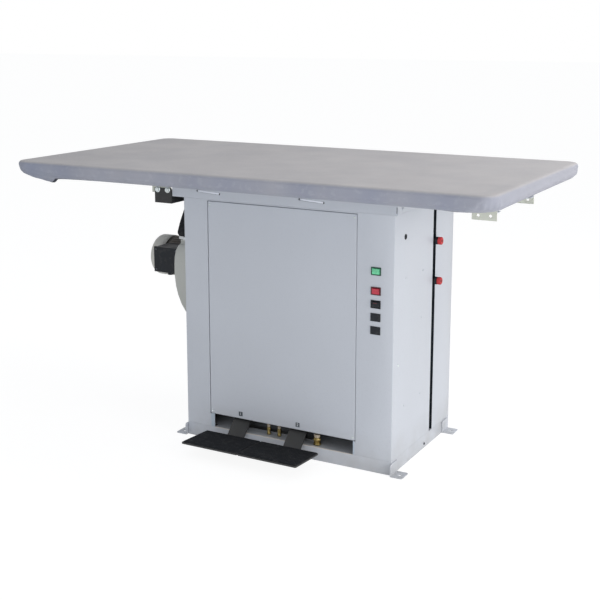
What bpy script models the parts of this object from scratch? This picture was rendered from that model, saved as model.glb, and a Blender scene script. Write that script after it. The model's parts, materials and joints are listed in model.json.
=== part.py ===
"""A free-standing vacuum ironing table, as separate pieces.

The origin is on the floor under the middle of the table top. X runs along the table, Y from its
front to its back and Z up. Lengths are in metres.
"""

import math

import bmesh
import bpy
from mathutils import Matrix, Vector

# Whole table
TABLE_LENGTH = 1.64
TABLE_WIDTH = 0.86
TABLE_HEIGHT = 0.925
FRONT_OVERHANG = 0.232
CABINET_WIDTH = 0.75
CABINET_SHIFT = 0.067
MAIN_DEPTH = 0.306
SLOT_WIDTH = 0.022
REAR_DEPTH = 0.154
SHEET = 0.002
SEAT = 0.0003
OVERRUN = 0.01
MERGE_DISTANCE = 0.00001

# Base frame, pan and feet
BASE_HEIGHT = 0.044
BASE_TOP_FLANGE = 0.009
BASE_FLOOR_FLANGE = 0.025
FOLD_RADIUS = 0.003
FOOT_REACH = 0.041
FOOT_LENGTH = 0.055
FOOT_PROUD = 0.012
FOOT_THICKNESS = 0.003
FOOT_HEIGHT = 0.040
GUSSET_REACH = 0.018
ANCHOR_HOLE_RADIUS = 0.0055

# Cabinet shell and rear housing
SHELL_FLANGE = 0.018
PANEL_LEFT = 0.093
PANEL_RIGHT = 0.125
PANEL_BOTTOM = 0.0895
PANEL_FROM_TOP = 0.0055
PANEL_GAP = 0.002
PANEL_FOLD = 0.013
PANEL_EDGE = 0.0015
FRAME_SHEET = 0.0015
FRAME_LIP = 0.017
OPENING_INSET = 0.0155
OPENING_INSET_RIGHT = 0.006
OPENING_DEPTH = 0.03
BREATHER_RADIUS = 0.006
BREATHER_FROM_FRONT = 0.0795
BREATHER_FROM_TOP = 0.076
REAR_OPENING_SIDE = 0.055
REAR_OPENING_LOW = 0.10
REAR_OPENING_FROM_TOP = 0.05
REAR_PANEL_LAP = 0.015
REAR_PANEL_THICKNESS = 0.0015
VENT_LENGTH = 0.070
VENT_HEIGHT = 0.005
VENT_PITCH = 0.016
VENT_ROWS = 5
VENT_COLUMN_STEP = 0.22
STRIP_RECESS = 0.009
STRIP_DEPTH = 0.020
STRIP_SHEET = 0.0015

# Valves in the slot
VALVES_FROM_TOP = (0.127, 0.258)
VALVE_STEM_RADIUS = 0.0045
VALVE_BODY_RADIUS = 0.0072
VALVE_BODY_LENGTH = 0.042
VALVE_FLANGE_RADIUS = 0.0092
VALVE_FLANGE_LENGTH = 0.003
KNOB_RADIUS = 0.0125
KNOB_LENGTH = 0.022
KNOB_LOBES = 8
KNOB_LOBE_DEPTH = 0.0008
KNOB_STAND_OFF = 0.0035
KNOB_CHAMFER = 0.002

# Switch column
SWITCH_FROM_RIGHT = 0.0595
SWITCHES_FROM_TOP = (0.1728, 0.2337, 0.2748, 0.3151, 0.3562)
SWITCH_NAMES = ("green", "red", "black")
BLANK_NAMES = ("upper", "lower")
BEZEL_WIDTH = 0.033
BEZEL_HEIGHT = 0.0252
BEZEL_THICKNESS = 0.002
SWITCH_BODY_WIDTH = 0.029
SWITCH_BODY_HEIGHT = 0.0225
SWITCH_BODY_DEPTH = 0.022
POCKET_DEPTH = 0.012
ROCKER_WIDTH = 0.024
ROCKER_HEIGHT = 0.017
ROCKER_PROUD = 0.0026
ROCKER_DEPTH = 0.006
ROCKER_SIDE_GAP = 0.0005
ROCKER_END_GAP = 0.0014
ROCKER_PIVOT_DEPTH = 0.003
ROCKER_TILT = math.radians(6.0)
HOLE_CLEARANCE = 0.0004

# Pedals
PEDAL_SHIFT = -0.070
PEDAL_PITCH = 0.210
PEDAL_WIDTH = 0.208
PEDAL_DEPTH = 0.126
PEDAL_TOP = 0.0425
PEDAL_THICKNESS = 0.003
PEDAL_RIM = 0.0055
PEDAL_SET_BACK = 0.031
ARM_SHIFT = 0.008
ARM_WIDTH = 0.062
ARM_THICKNESS = 0.005
ARM_START = 0.002
PEDAL_TRAVEL = math.radians(7.1)
PIVOT_FROM_FRONT = 0.060
PIVOT_HEIGHT = 0.0795
SHAFT_RADIUS = 0.006
HUB_RADIUS = 0.011
BEARING_GAP = 0.0003
REAR_ARM_WIDTH = 0.022
REAR_ARM_END = 0.012
MAT_THICKNESS = 0.0015
MAT_RIB_HEIGHT = 0.0016
MAT_RIBS = 24
MAT_MARGIN = 0.003
BRACKET_SHEET = 0.003
BRACKET_DEPTH = 0.024
BRACKET_SIDE_GAP = 0.008

# Push rods and dampers
ROD_RADIUS = 0.004
ROD_BALL_RADIUS = 0.006
ROD_EYE_WIDTH = 0.020
ROD_EYE_HEIGHT = 0.018
ROD_EYE_THICKNESS = 0.004
CRANK_PIN_RADIUS = 0.0025
PIN_CLEARANCE = 0.0007
CRANK_THICKNESS = 0.003
CRANK_WIDTH = 0.009
CRANK_GAP = 0.003
DAMPER_TURN = math.radians(74.0)
DAMPER_SHAFT_RADIUS = 0.004
DAMPER_PLATE = 0.002
DAMPER_RIM_GAP = 0.0015
DAMPER_FROM_TOP = 0.038

# Suction duct
DUCT_RADIUS = 0.055
DUCT_FROM_ROD = 0.078
DUCT_FROM_FRONT = 0.228
DUCT_WALL = 0.0015
DUCT_FROM_TOP = 0.110
DUCT_FLANGE = 0.009

# Collar, rails, plates and socket
COLLAR_LEFT = 0.0445
COLLAR_RIGHT = 0.0075
COLLAR_HEIGHT = 0.031
COLLAR_RAIL_WIDTH = 0.030
COLLAR_REAR_FROM_FRONT = 0.318
CROSS_INSET = 0.004
COLLAR_SLOT_LENGTH = 0.090
COLLAR_SLOT_HEIGHT = 0.007
COLLAR_SLOT_FROM_TOP = 0.0085
COLLAR_SLOT_TILT = math.radians(3.5)
COLLAR_SLOTS_FROM_LEFT = (0.095, 0.470)
RAIL_LEFT = 0.1243
RAIL_FROM_END = 0.0695
RAIL_HEIGHT = 0.0368
RAIL_WIDTH = 0.030
RAIL_SHEET = 0.0025
PLATE_WIDTH = 0.074
PLATE_THICKNESS = 0.003
PLATE_RISE = 0.009
PLATE_HOLE_RADIUS = 0.0045
PLATE_HOLE_PITCH = 0.036
PLATE_HOLE_HEIGHT = 0.0135
SOCKET_WIDTH = 0.067
SOCKET_LENGTH = 0.076
SOCKET_DROP = 0.0245
SOCKET_FLANGE_RISE = 0.0255
SOCKET_WALL = 0.003
SOCKET_SHIFT = 0.012

# Top: tray, hopper, perforated plate, pad and cover
COVER_THICKNESS = 0.002
COVER_CORNER = 0.044
COVER_CORNER_STEPS = 12
TRAY_CORNER_STEPS = 5
COVER_FOLDS = 4
COVER_FOLD_DEPTH = 0.0022
COVER_SHOULDER = 0.012
COVER_BAND = 0.036
COVER_TUCK = 0.014
COVER_HEM_INSET = 0.036
PAD_THICKNESS = 0.0185
PLATE_SHEET = 0.002
TRAY_INSET = 0.0045
TRAY_TUCK_INSET = 0.034
TRAY_BAND = 0.010
TRAY_DEPTH = 0.0232
HOLE_COLUMNS = 9
HOLE_ROWS = 4
SUCTION_HOLE_RADIUS = 0.006
SUCTION_MARGIN = 0.10
HOPPER_LEFT = 0.082
HOPPER_RIGHT = 0.142
HOPPER_FRONT = 0.048
HOPPER_BACK = 0.303
HOPPER_FLANGE = 0.012
HOPPER_LIP = 0.015
SPIGOT_RADIUS = 0.0295
SPIGOT_WALL = 0.0015
SPIGOT_DROP = 0.025
SPIGOT_LEFT = 0.037
SPIGOT_FROM_FRONT = 0.146
BEARING_TAB = 0.014
TAB_GAP = 0.001

# Blower
FAN_FROM_FRONT = 0.233
FAN_FROM_TOP = 0.255
SCROLL_WIDTH = 0.0597
SCROLL_STAND_OFF = 0.0073
SCROLL_FRONT_RADIUS = 0.196
SCROLL_LOW_RADIUS = 0.210
SCROLL_TONGUE_RADIUS = 0.092
SCROLL_START = math.radians(176.0)
SCROLL_LOW = math.radians(230.0)
SCROLL_TONGUE = math.radians(475.0)
SCROLL_GROWTH = 0.75
SCROLL_STEPS = 28
SHOULDER_STEPS = 4
SHOULDER_RISE = 0.073
SCROLL_WALL = 0.002
SCROLL_EDGE = 0.006
NECK_FRONT = 0.070
NECK_DEPTH = 0.124
NECK_RISE = 0.120
INLET_RADIUS = 0.056
INLET_COLLAR = 0.010
IMPELLER_RADIUS = 0.084
IMPELLER_EYE = 0.054
IMPELLER_WIDTH = 0.036
IMPELLER_DISC = 0.0018
IMPELLER_BLADES = 9
BLADE_THICKNESS = 0.0018
BLADE_SWEEP = math.radians(38.0)
BLADE_STEPS = 3
IMPELLER_HUB_RADIUS = 0.018
IMPELLER_BACK_GAP = 0.007
MOTOR_SHAFT_RADIUS = 0.007
MOTOR_BORE_GAP = 0.0004
MOTOR_RADIUS = 0.070
MOTOR_FLANGE_RADIUS = 0.076
MOTOR_FLANGE = 0.010
MOTOR_BODY_LENGTH = 0.118
MOTOR_FINS = 24
FIN_DEPTH = 0.006
FIN_SHARES = (0.0, 0.35, 0.5, 0.85)
MOTOR_SHIELD_RADIUS = 0.0686
MOTOR_SHIELD_LENGTH = 0.010
MOTOR_NECK_RADIUS = 0.062
MOTOR_NECK_LENGTH = 0.012
COWL_RADIUS = 0.0715
COWL_LENGTH = 0.058
COWL_WALL = 0.002
COWL_ROUND = 0.017
COWL_SLOTS = 8
COWL_SLOT_WIDTH = 0.005
COWL_SLOT_INNER = 0.020
COWL_SLOT_OUTER = 0.047
COOLING_FAN_RADIUS = 0.055
COOLING_FAN_LENGTH = 0.012
TERMINAL_WIDTH = 0.098
TERMINAL_HEIGHT = 0.086
TERMINAL_DEPTH = 0.054
TERMINAL_RISE = 0.0095
TERMINAL_FROM_BODY = -0.0077
TERMINAL_LID = 0.009
TERMINAL_EDGE = 0.004
BOOT_WALL = 0.003
BOOT_NECK_LAP = 0.022
BOOT_BULGE = 0.0025
BOOT_SPIGOT_LAP = 0.020
CLAMP_RISE = 0.0015
CLAMP_WIDTH = 0.010
CLAMP_SHEET = 0.001
CLAMP_SCREW = 0.008

# Brass unions in the pedal opening: place from the pedals' middle, from the front, and radius
UNIONS = (
    ("left", -0.006, 0.030, 0.0065),
    ("middle", 0.033, 0.030, 0.0065),
    ("right", 0.176, 0.024, 0.0125),
)
UNION_HEIGHT = 0.036
UNION_HEX_SHARE = 0.28
UNION_NECK_SHARE = 0.72

# Lines that the pieces share
FRONT_Y = FRONT_OVERHANG - TABLE_WIDTH / 2
LEFT_X = CABINET_SHIFT - CABINET_WIDTH / 2
RIGHT_X = CABINET_SHIFT + CABINET_WIDTH / 2
MAIN_BACK_Y = FRONT_Y + MAIN_DEPTH
REAR_FRONT_Y = MAIN_BACK_Y + SLOT_WIDTH
BACK_Y = REAR_FRONT_Y + REAR_DEPTH
TOP_STACK = COLLAR_HEIGHT + RAIL_HEIGHT + TRAY_DEPTH + PLATE_SHEET + PAD_THICKNESS + COVER_THICKNESS
CABINET_HEIGHT = TABLE_HEIGHT - TOP_STACK - 5 * SEAT
SHELL_BOTTOM = BASE_HEIGHT + SEAT
SHELL_TOP = CABINET_HEIGHT - SEAT
PAN_TOP = BASE_HEIGHT - SHEET - SEAT
COLLAR_BOTTOM = CABINET_HEIGHT
COLLAR_TOP = COLLAR_BOTTOM + COLLAR_HEIGHT
RAIL_BOTTOM = COLLAR_TOP + SEAT
RAIL_TOP = RAIL_BOTTOM + RAIL_HEIGHT
TRAY_BOTTOM = RAIL_TOP + SEAT
TRAY_TOP = TRAY_BOTTOM + TRAY_DEPTH
PERFORATED_TOP = TRAY_TOP + SEAT + PLATE_SHEET
PAD_BOTTOM = PERFORATED_TOP + SEAT
PANEL_X = LEFT_X + PANEL_LEFT
PANEL_WIDTH = CABINET_WIDTH - PANEL_LEFT - PANEL_RIGHT
PANEL_TOP = CABINET_HEIGHT - PANEL_FROM_TOP
BREATHER_HEIGHT = CABINET_HEIGHT - BREATHER_FROM_TOP
REAR_OPENING_HIGH = CABINET_HEIGHT - REAR_OPENING_FROM_TOP
VALVE_HEIGHTS = tuple(CABINET_HEIGHT - drop for drop in VALVES_FROM_TOP)
SWITCH_HEIGHTS = tuple(CABINET_HEIGHT - drop for drop in SWITCHES_FROM_TOP)
DAMPER_HEIGHT = CABINET_HEIGHT - DAMPER_FROM_TOP
DUCT_BOTTOM = CABINET_HEIGHT - DUCT_FROM_TOP
PLATE_BOTTOM = COLLAR_BOTTOM + PLATE_RISE
SOCKET_BOTTOM = COLLAR_BOTTOM - SOCKET_DROP
SOCKET_FLANGE_TOP = COLLAR_BOTTOM + SOCKET_FLANGE_RISE
FAN_HEIGHT = CABINET_HEIGHT - FAN_FROM_TOP
NECK_TOP = FAN_HEIGHT + NECK_RISE
SPIGOT_BOTTOM = CABINET_HEIGHT - SPIGOT_DROP
BOOT_BOTTOM = NECK_TOP - BOOT_NECK_LAP
BOOT_TOP = SPIGOT_BOTTOM + BOOT_SPIGOT_LAP
CLAMP_BOTTOM = BOOT_BOTTOM + CLAMP_RISE
PEDAL_MIDDLE = CABINET_SHIFT + PEDAL_SHIFT
PIVOT_Y = FRONT_Y + PIVOT_FROM_FRONT
FAN_Y = FRONT_Y + FAN_FROM_FRONT
SCROLL_RIGHT = LEFT_X - SCROLL_STAND_OFF
SCROLL_LEFT = SCROLL_RIGHT - SCROLL_WIDTH
MOTOR_RIGHT = SCROLL_LEFT - SEAT
MOTOR_LEFT = MOTOR_RIGHT - MOTOR_FLANGE - MOTOR_BODY_LENGTH
SPIGOT_X = LEFT_X - SPIGOT_LEFT
SPIGOT_Y = FRONT_Y + SPIGOT_FROM_FRONT
DUCT_Y = FRONT_Y + DUCT_FROM_FRONT
HOPPER_BOTTOM = COLLAR_TOP + OVERRUN / 10


# Making and combining shapes


def clear_scene():
    """Removes what the file opened with."""
    for obj in list(bpy.data.objects):
        bpy.data.objects.remove(obj, do_unlink=True)


def new_collection(name):
    """A collection linked to the scene."""
    collection = bpy.data.collections.new(name)
    bpy.context.scene.collection.children.link(collection)
    return collection


clear_scene()
PARTS = new_collection("vacuum_ironing_table")
CUTTERS = new_collection("cutters")


def finish(name, colour, roughness, metallic=0.0):
    """A Principled BSDF material."""
    material = bpy.data.materials.new(name)
    material.use_nodes = True
    shader = material.node_tree.nodes["Principled BSDF"]
    shader.inputs["Base Color"].default_value = (*colour, 1.0)
    shader.inputs["Roughness"].default_value = roughness
    shader.inputs["Metallic"].default_value = metallic
    return material


CABINET_GREY = finish("cabinet_grey", (0.55, 0.58, 0.63), 0.45)
CREAM_PAINT = finish("cream_paint", (0.58, 0.60, 0.54), 0.5)
COVER_CLOTH = finish("cover_cloth", (0.40, 0.38, 0.38), 0.9)
PAD_FOAM = finish("pad_foam", (0.65, 0.63, 0.55), 0.95)
ZINC_STEEL = finish("zinc_steel", (0.60, 0.61, 0.62), 0.4, 1.0)
BLACK_PAINT = finish("black_paint", (0.02, 0.02, 0.022), 0.5)
BLACK_RUBBER = finish("black_rubber", (0.015, 0.015, 0.016), 0.8)
BLACK_PLASTIC = finish("black_plastic", (0.02, 0.02, 0.022), 0.4)
GREEN_LENS = finish("green_lens", (0.10, 0.60, 0.35), 0.3)
RED_LENS = finish("red_lens", (0.60, 0.03, 0.07), 0.3)
RED_PLASTIC = finish("red_plastic", (0.55, 0.03, 0.05), 0.4)
BRASS = finish("brass", (0.55, 0.42, 0.20), 0.35, 1.0)
FAN_GREY = finish("fan_grey", (0.40, 0.41, 0.39), 0.5)
MOTOR_GREY = finish("motor_grey", (0.16, 0.15, 0.14), 0.55)


def mesh_object(name, shape, material, origin=(0.0, 0.0, 0.0), collection=None):
    """Makes an object of a bmesh written in world places, with its own origin at a chosen point."""
    bmesh.ops.translate(shape, verts=shape.verts, vec=-Vector(origin))
    mesh = bpy.data.meshes.new(name)
    shape.to_mesh(mesh)
    shape.free()
    mesh.materials.append(material)
    obj = bpy.data.objects.new(name, mesh)
    obj.location = origin
    (collection or PARTS).objects.link(obj)
    return obj


def smooth(obj, angle=35.0):
    """Shades a round piece smooth, with its sharp edges kept."""
    obj.data.shade_smooth()
    obj.data.set_sharp_from_angle(angle=math.radians(angle))
    return obj


def solidify(obj, thickness, offset=-1.0):
    """Gives an open surface its wall."""
    modifier = obj.modifiers.new("wall", "SOLIDIFY")
    modifier.thickness = thickness
    modifier.offset = offset
    modifier.use_even_offset = True
    modifier.use_quality_normals = True
    return obj


def bevel(obj, width, segments=1, angle=30.0):
    """Rounds the edges sharper than an angle."""
    modifier = obj.modifiers.new("edges", "BEVEL")
    modifier.width = width
    modifier.segments = segments
    modifier.limit_method = "ANGLE"
    modifier.angle_limit = math.radians(angle)
    return obj


def combine(target, shape, operation):
    """Applies a closed shape to an object by a live Boolean."""
    name = f"{operation.lower()}_{target.name}_{len(target.modifiers)}"
    tool = mesh_object(name, shape, target.data.materials[0], collection=CUTTERS)
    tool.hide_render = True
    tool.display_type = "WIRE"
    modifier = target.modifiers.new(name, "BOOLEAN")
    modifier.object = tool
    modifier.operation = operation
    modifier.solver = "EXACT"
    return tool


def cut(target, shape):
    """Takes a shape out of an object."""
    return combine(target, shape, "DIFFERENCE")


def join(target, shape):
    """Adds a shape to an object."""
    return combine(target, shape, "UNION")


def box(low, high):
    """A box between two corners, as a bmesh."""
    shape = bmesh.new()
    add_box(shape, low, high)
    return shape


def add_box(shape, low, high):
    """Adds a box between two corners."""
    low, high = Vector(low), Vector(high)
    size = Matrix.Diagonal((*(high - low), 1.0))
    place = Matrix.Translation((low + high) / 2)
    bmesh.ops.create_cube(shape, size=1.0, matrix=place @ size)


def rod(start, end, radius, sides, end_radius=None):
    """A cylinder or cone between two points, as a bmesh."""
    shape = bmesh.new()
    add_rod(shape, start, end, radius, sides, end_radius)
    return shape


def add_rod(shape, start, end, radius, sides, end_radius=None):
    """Adds a cylinder or cone between two points."""
    start, end = Vector(start), Vector(end)
    along = end - start
    turn = along.to_track_quat("Z", "Y").to_matrix().to_4x4()
    bmesh.ops.create_cone(
        shape,
        cap_ends=True,
        segments=sides,
        radius1=radius,
        radius2=radius if end_radius is None else end_radius,
        depth=along.length,
        matrix=Matrix.Translation((start + end) / 2) @ turn,
    )


def block(name, low, high, material, origin=(0.0, 0.0, 0.0)):
    """A box as an object."""
    return mesh_object(name, box(low, high), material, origin)


def rounded_ring(x0, x1, y0, y1, radius, steps):
    """Flat points round a rectangle with round corners, anticlockwise."""
    corners = ((x1, y1, -1, -1), (x0, y1, 1, -1), (x0, y0, 1, 1), (x1, y0, -1, 1))
    points = []
    for quarter, (x, y, sx, sy) in enumerate(corners):
        for i in range(steps + 1):
            angle = math.radians(90.0) * (quarter + i / steps)
            points.append(
                (x + radius * (sx + math.cos(angle)), y + radius * (sy + math.sin(angle)))
            )
    return points


def level(ring, z):
    """Puts a flat ring at a height."""
    return [(a, b, z) for a, b in ring]


def upright(ring, y):
    """Puts a flat ring in a plane of constant Y, its outside towards the front."""
    return [(a, y, b) for a, b in ring]


def sideways(ring, x):
    """Puts a flat ring in a plane of constant X."""
    return [(x, a, b) for a, b in ring]


def loft(rings, cap_first=False, cap_last=False):
    """A surface through rings of as many points each, as a bmesh."""
    shape = bmesh.new()
    loops = [[shape.verts.new(point) for point in ring] for ring in rings]
    for low, high in zip(loops, loops[1:]):
        for i in range(len(low)):
            shape.faces.new((low[i - 1], low[i], high[i], high[i - 1]))
    if cap_first:
        shape.faces.new(list(reversed(loops[0])))
    if cap_last:
        shape.faces.new(loops[-1])
    return shape


def folded(path, along):
    """A sheet's middle surface: an open path drawn along a straight line, as a bmesh."""
    shape = bmesh.new()
    verts = [shape.verts.new(point) for point in path]
    edges = [shape.edges.new(pair) for pair in zip(verts, verts[1:])]
    drawn = bmesh.ops.extrude_edge_only(shape, edges=edges)["geom"]
    moved = [item for item in drawn if isinstance(item, bmesh.types.BMVert)]
    bmesh.ops.translate(shape, verts=moved, vec=Vector(along))
    return shape


def walled(name, shape, material, thickness, offset=-1.0, origin=(0.0, 0.0, 0.0)):
    """An open surface as an object with its wall."""
    return solidify(mesh_object(name, shape, material, origin), thickness, offset)


def applied(name, shape, thickness, offset=0.0):
    """A walled shape with its wall applied, as a bmesh, for use in a Boolean."""
    obj = walled(name, shape, CABINET_GREY, thickness, offset)
    evaluated = obj.evaluated_get(bpy.context.evaluated_depsgraph_get())
    result = bmesh.new()
    result.from_mesh(evaluated.to_mesh())
    evaluated.to_mesh_clear()
    bpy.data.objects.remove(obj, do_unlink=True)
    return result


def turned(name, profile, centre, axis, steps, material):
    """A profile of (radius, height) points, outer side from top to bottom, turned about an axis."""
    mesh = bpy.data.meshes.new(name)
    verts = [(radius, 0.0, height) for radius, height in profile]
    closed = profile[0] == profile[-1]
    if closed:
        verts = verts[:-1]
    edges = [(i, i + 1) for i in range(len(verts) - 1)]
    if closed:
        edges.append((len(verts) - 1, 0))
    mesh.from_pydata(verts, edges, [])
    mesh.materials.append(material)
    obj = bpy.data.objects.new(name, mesh)
    obj.location = centre
    obj.rotation_mode = "QUATERNION"
    obj.rotation_quaternion = Vector(axis).to_track_quat("Z", "Y")
    PARTS.objects.link(obj)
    screw = obj.modifiers.new("turn", "SCREW")
    screw.steps = steps
    screw.render_steps = steps
    screw.use_merge_vertices = True
    screw.merge_threshold = MERGE_DISTANCE
    screw.use_normal_calculate = False
    screw.use_smooth_shade = True
    return obj


# Base frame


def cabinet_ring(inset, z, back_y):
    """A ring round the cabinet's plan, drawn in by an inset."""
    radius = max(FOLD_RADIUS - inset, FOLD_RADIUS / 10)
    flat = rounded_ring(
        LEFT_X + inset, RIGHT_X - inset, FRONT_Y + inset, back_y - inset, radius, 2
    )
    return level(flat, z)


def build_base():
    """The folded plinth and the pan under its top flange."""
    rings = [
        cabinet_ring(BASE_FLOOR_FLANGE, 0.0, BACK_Y),
        cabinet_ring(0.0, 0.0, BACK_Y),
        cabinet_ring(0.0, BASE_HEIGHT, BACK_Y),
        cabinet_ring(BASE_TOP_FLANGE, BASE_HEIGHT, BACK_Y),
    ]
    walled("base_frame", loft(rings), CABINET_GREY, SHEET)
    inset = FOLD_RADIUS + SHEET / 2
    low = (LEFT_X + inset, FRONT_Y + inset, PAN_TOP - SHEET)
    high = (RIGHT_X - inset, BACK_Y - inset, PAN_TOP)
    block("base_pan", low, high, CABINET_GREY)


def build_foot(name, x, side, y_low, y_high):
    """A folded foot with a gusset and an anchor hole, on the side of the plinth."""
    middle = FOOT_THICKNESS / 2
    wall_x = x + side * (SEAT + middle)
    tip_x = x + side * FOOT_REACH
    path = [(wall_x, y_low, FOOT_HEIGHT), (wall_x, y_low, middle), (tip_x, y_low, middle)]
    foot = walled(name, folded(path, (0.0, y_high - y_low, 0.0)), CABINET_GREY, FOOT_THICKNESS, 0.0)
    gusset_y = y_high if y_low < 0 else y_low + FOOT_THICKNESS
    inner = x + side * (SEAT + middle)
    wide = x + side * (SEAT + FOOT_THICKNESS + GUSSET_REACH)
    narrow = x + side * (SEAT + FOOT_THICKNESS * 1.5)
    outline = [(inner, middle), (wide, middle), (narrow, FOOT_HEIGHT), (inner, FOOT_HEIGHT)]
    if side > 0:
        outline.reverse()
    rings = [upright(outline, gusset_y - FOOT_THICKNESS), upright(outline, gusset_y)]
    gusset = loft(rings, cap_first=True, cap_last=True)
    bmesh.ops.recalc_face_normals(gusset, faces=gusset.faces)
    join(foot, gusset)
    hole_x = (x + tip_x) / 2 + side * FOOT_THICKNESS
    hole_y = (y_low + y_high) / 2 - (FOOT_THICKNESS if y_low < 0 else -FOOT_THICKNESS)
    top = (hole_x, hole_y, FOOT_THICKNESS + OVERRUN)
    cut(foot, rod((hole_x, hole_y, -OVERRUN), top, ANCHOR_HOLE_RADIUS, 12))


def build_feet():
    """Four feet, at the corners of the plinth."""
    front = (FRONT_Y - FOOT_PROUD, FRONT_Y - FOOT_PROUD + FOOT_LENGTH)
    rear = (BACK_Y - FOOT_LENGTH - FOOT_PROUD, BACK_Y - FOOT_PROUD)
    for side_name, x, side in (("left", LEFT_X, -1), ("right", RIGHT_X, 1)):
        for end_name, (y_low, y_high) in (("front", front), ("rear", rear)):
            build_foot(f"foot_{end_name}_{side_name}", x, side, y_low, y_high)


# Cabinet


def build_shell():
    """The folded cabinet shell with its openings."""
    rings = [
        cabinet_ring(SHELL_FLANGE, SHELL_BOTTOM, MAIN_BACK_Y),
        cabinet_ring(0.0, SHELL_BOTTOM, MAIN_BACK_Y),
        cabinet_ring(0.0, SHELL_TOP, MAIN_BACK_Y),
        cabinet_ring(SHELL_FLANGE, SHELL_TOP, MAIN_BACK_Y),
    ]
    shell = walled("cabinet_shell", loft(rings), CABINET_GREY, SHEET)
    low = (PANEL_X - PANEL_GAP, FRONT_Y - OVERRUN, PANEL_BOTTOM - PANEL_GAP)
    high = (PANEL_X + PANEL_WIDTH + PANEL_GAP, FRONT_Y + OVERRUN, PANEL_TOP + PANEL_GAP)
    cut(shell, box(low, high))
    low = (PANEL_X + OPENING_INSET, FRONT_Y - OVERRUN, SHELL_BOTTOM - OVERRUN)
    high = (PANEL_X + PANEL_WIDTH - OPENING_INSET_RIGHT, FRONT_Y + OPENING_DEPTH, PANEL_BOTTOM)
    cut(shell, box(low, high))
    inlet = (LEFT_X - OVERRUN, FAN_Y, FAN_HEIGHT)
    cut(shell, rod(inlet, (LEFT_X + OVERRUN, FAN_Y, FAN_HEIGHT), INLET_RADIUS, 32))
    breather_y = FRONT_Y + BREATHER_FROM_FRONT
    start = (RIGHT_X - OVERRUN, breather_y, BREATHER_HEIGHT)
    end = (RIGHT_X + OVERRUN, breather_y, BREATHER_HEIGHT)
    cut(shell, rod(start, end, BREATHER_RADIUS, 16))
    holes = bmesh.new()
    half_width = SWITCH_BODY_WIDTH / 2 + HOLE_CLEARANCE
    half_height = SWITCH_BODY_HEIGHT / 2 + HOLE_CLEARANCE
    for z in SWITCH_HEIGHTS:
        x = RIGHT_X - SWITCH_FROM_RIGHT
        low = (x - half_width, FRONT_Y - OVERRUN, z - half_height)
        high = (x + half_width, FRONT_Y + OVERRUN, z + half_height)
        add_box(holes, low, high)
    cut(shell, holes)


def panel_ring(grow, radius=FOLD_RADIUS):
    """A flat ring round the front panel's outline, grown by a margin."""
    x0, x1 = PANEL_X - grow, PANEL_X + PANEL_WIDTH + grow
    return rounded_ring(x0, x1, PANEL_BOTTOM - grow, PANEL_TOP + grow, radius, 2)


def build_panel():
    """The front panel, folded back at its edges, and the frame that it sits in."""
    rings = [
        upright(panel_ring(0.0), FRONT_Y + PANEL_FOLD),
        upright(panel_ring(0.0), FRONT_Y + PANEL_EDGE),
        upright(panel_ring(-PANEL_EDGE), FRONT_Y),
    ]
    walled("front_panel", loft(rings, cap_last=True), CABINET_GREY, FRAME_SHEET)
    outer_y = FRONT_Y + SHEET + SEAT
    seat_y = FRONT_Y + PANEL_FOLD + SEAT
    rings = [
        upright(panel_ring(-FRAME_LIP), seat_y),
        upright(panel_ring(PANEL_GAP), seat_y),
        upright(panel_ring(PANEL_GAP), outer_y),
        upright(panel_ring(FRAME_LIP), outer_y),
    ]
    frame = walled("panel_frame", loft(rings), CABINET_GREY, FRAME_SHEET, 1.0)
    grown = FRAME_LIP + OVERRUN
    low = (PANEL_X - grown, FRONT_Y, PANEL_BOTTOM - grown)
    high = (PANEL_X + PANEL_WIDTH + grown, FRONT_Y + OPENING_DEPTH, PANEL_BOTTOM)
    cut(frame, box(low, high))
    low = (PANEL_X - grown, FRONT_Y, SHELL_TOP - SHEET - SEAT)
    high = (PANEL_X + PANEL_WIDTH + grown, FRONT_Y + OPENING_DEPTH, SHELL_TOP + grown)
    cut(frame, box(low, high))


def build_rear_housing():
    """The rear housing, its back opening and the vented panel over it."""

    def ring(inset, z):
        radius = max(FOLD_RADIUS - inset, FOLD_RADIUS / 10)
        x0, x1 = LEFT_X + inset, RIGHT_X - inset
        return level(rounded_ring(x0, x1, REAR_FRONT_Y + inset, BACK_Y - inset, radius, 2), z)

    rings = [
        ring(SHELL_FLANGE, SHELL_BOTTOM),
        ring(0.0, SHELL_BOTTOM),
        ring(0.0, SHELL_TOP),
        ring(SHELL_FLANGE, SHELL_TOP),
    ]
    housing = walled("rear_housing", loft(rings), CABINET_GREY, SHEET)
    x0, x1 = LEFT_X + REAR_OPENING_SIDE, RIGHT_X - REAR_OPENING_SIDE
    low = (x0, BACK_Y - OVERRUN, REAR_OPENING_LOW)
    cut(housing, box(low, (x1, BACK_Y + OVERRUN, REAR_OPENING_HIGH)))
    lap = REAR_PANEL_LAP
    low = (x0 - lap, BACK_Y + SEAT, REAR_OPENING_LOW - lap)
    high = (x1 + lap, BACK_Y + SEAT + REAR_PANEL_THICKNESS, REAR_OPENING_HIGH + lap)
    panel = block("rear_panel", low, high, CABINET_GREY)
    vents = bmesh.new()
    for column in (-1, 0, 1):
        x = CABINET_SHIFT + column * VENT_COLUMN_STEP
        for row in range(VENT_ROWS):
            z = REAR_OPENING_HIGH - lap - (row + 1) * VENT_PITCH
            low = (x - VENT_LENGTH / 2, BACK_Y - OVERRUN, z - VENT_HEIGHT / 2)
            high = (x + VENT_LENGTH / 2, BACK_Y + OVERRUN, z + VENT_HEIGHT / 2)
            add_box(vents, low, high)
    cut(panel, vents)


def valve_y():
    """The middle of the slot between the shell and the rear housing."""
    return (MAIN_BACK_Y + REAR_FRONT_Y) / 2


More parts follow.
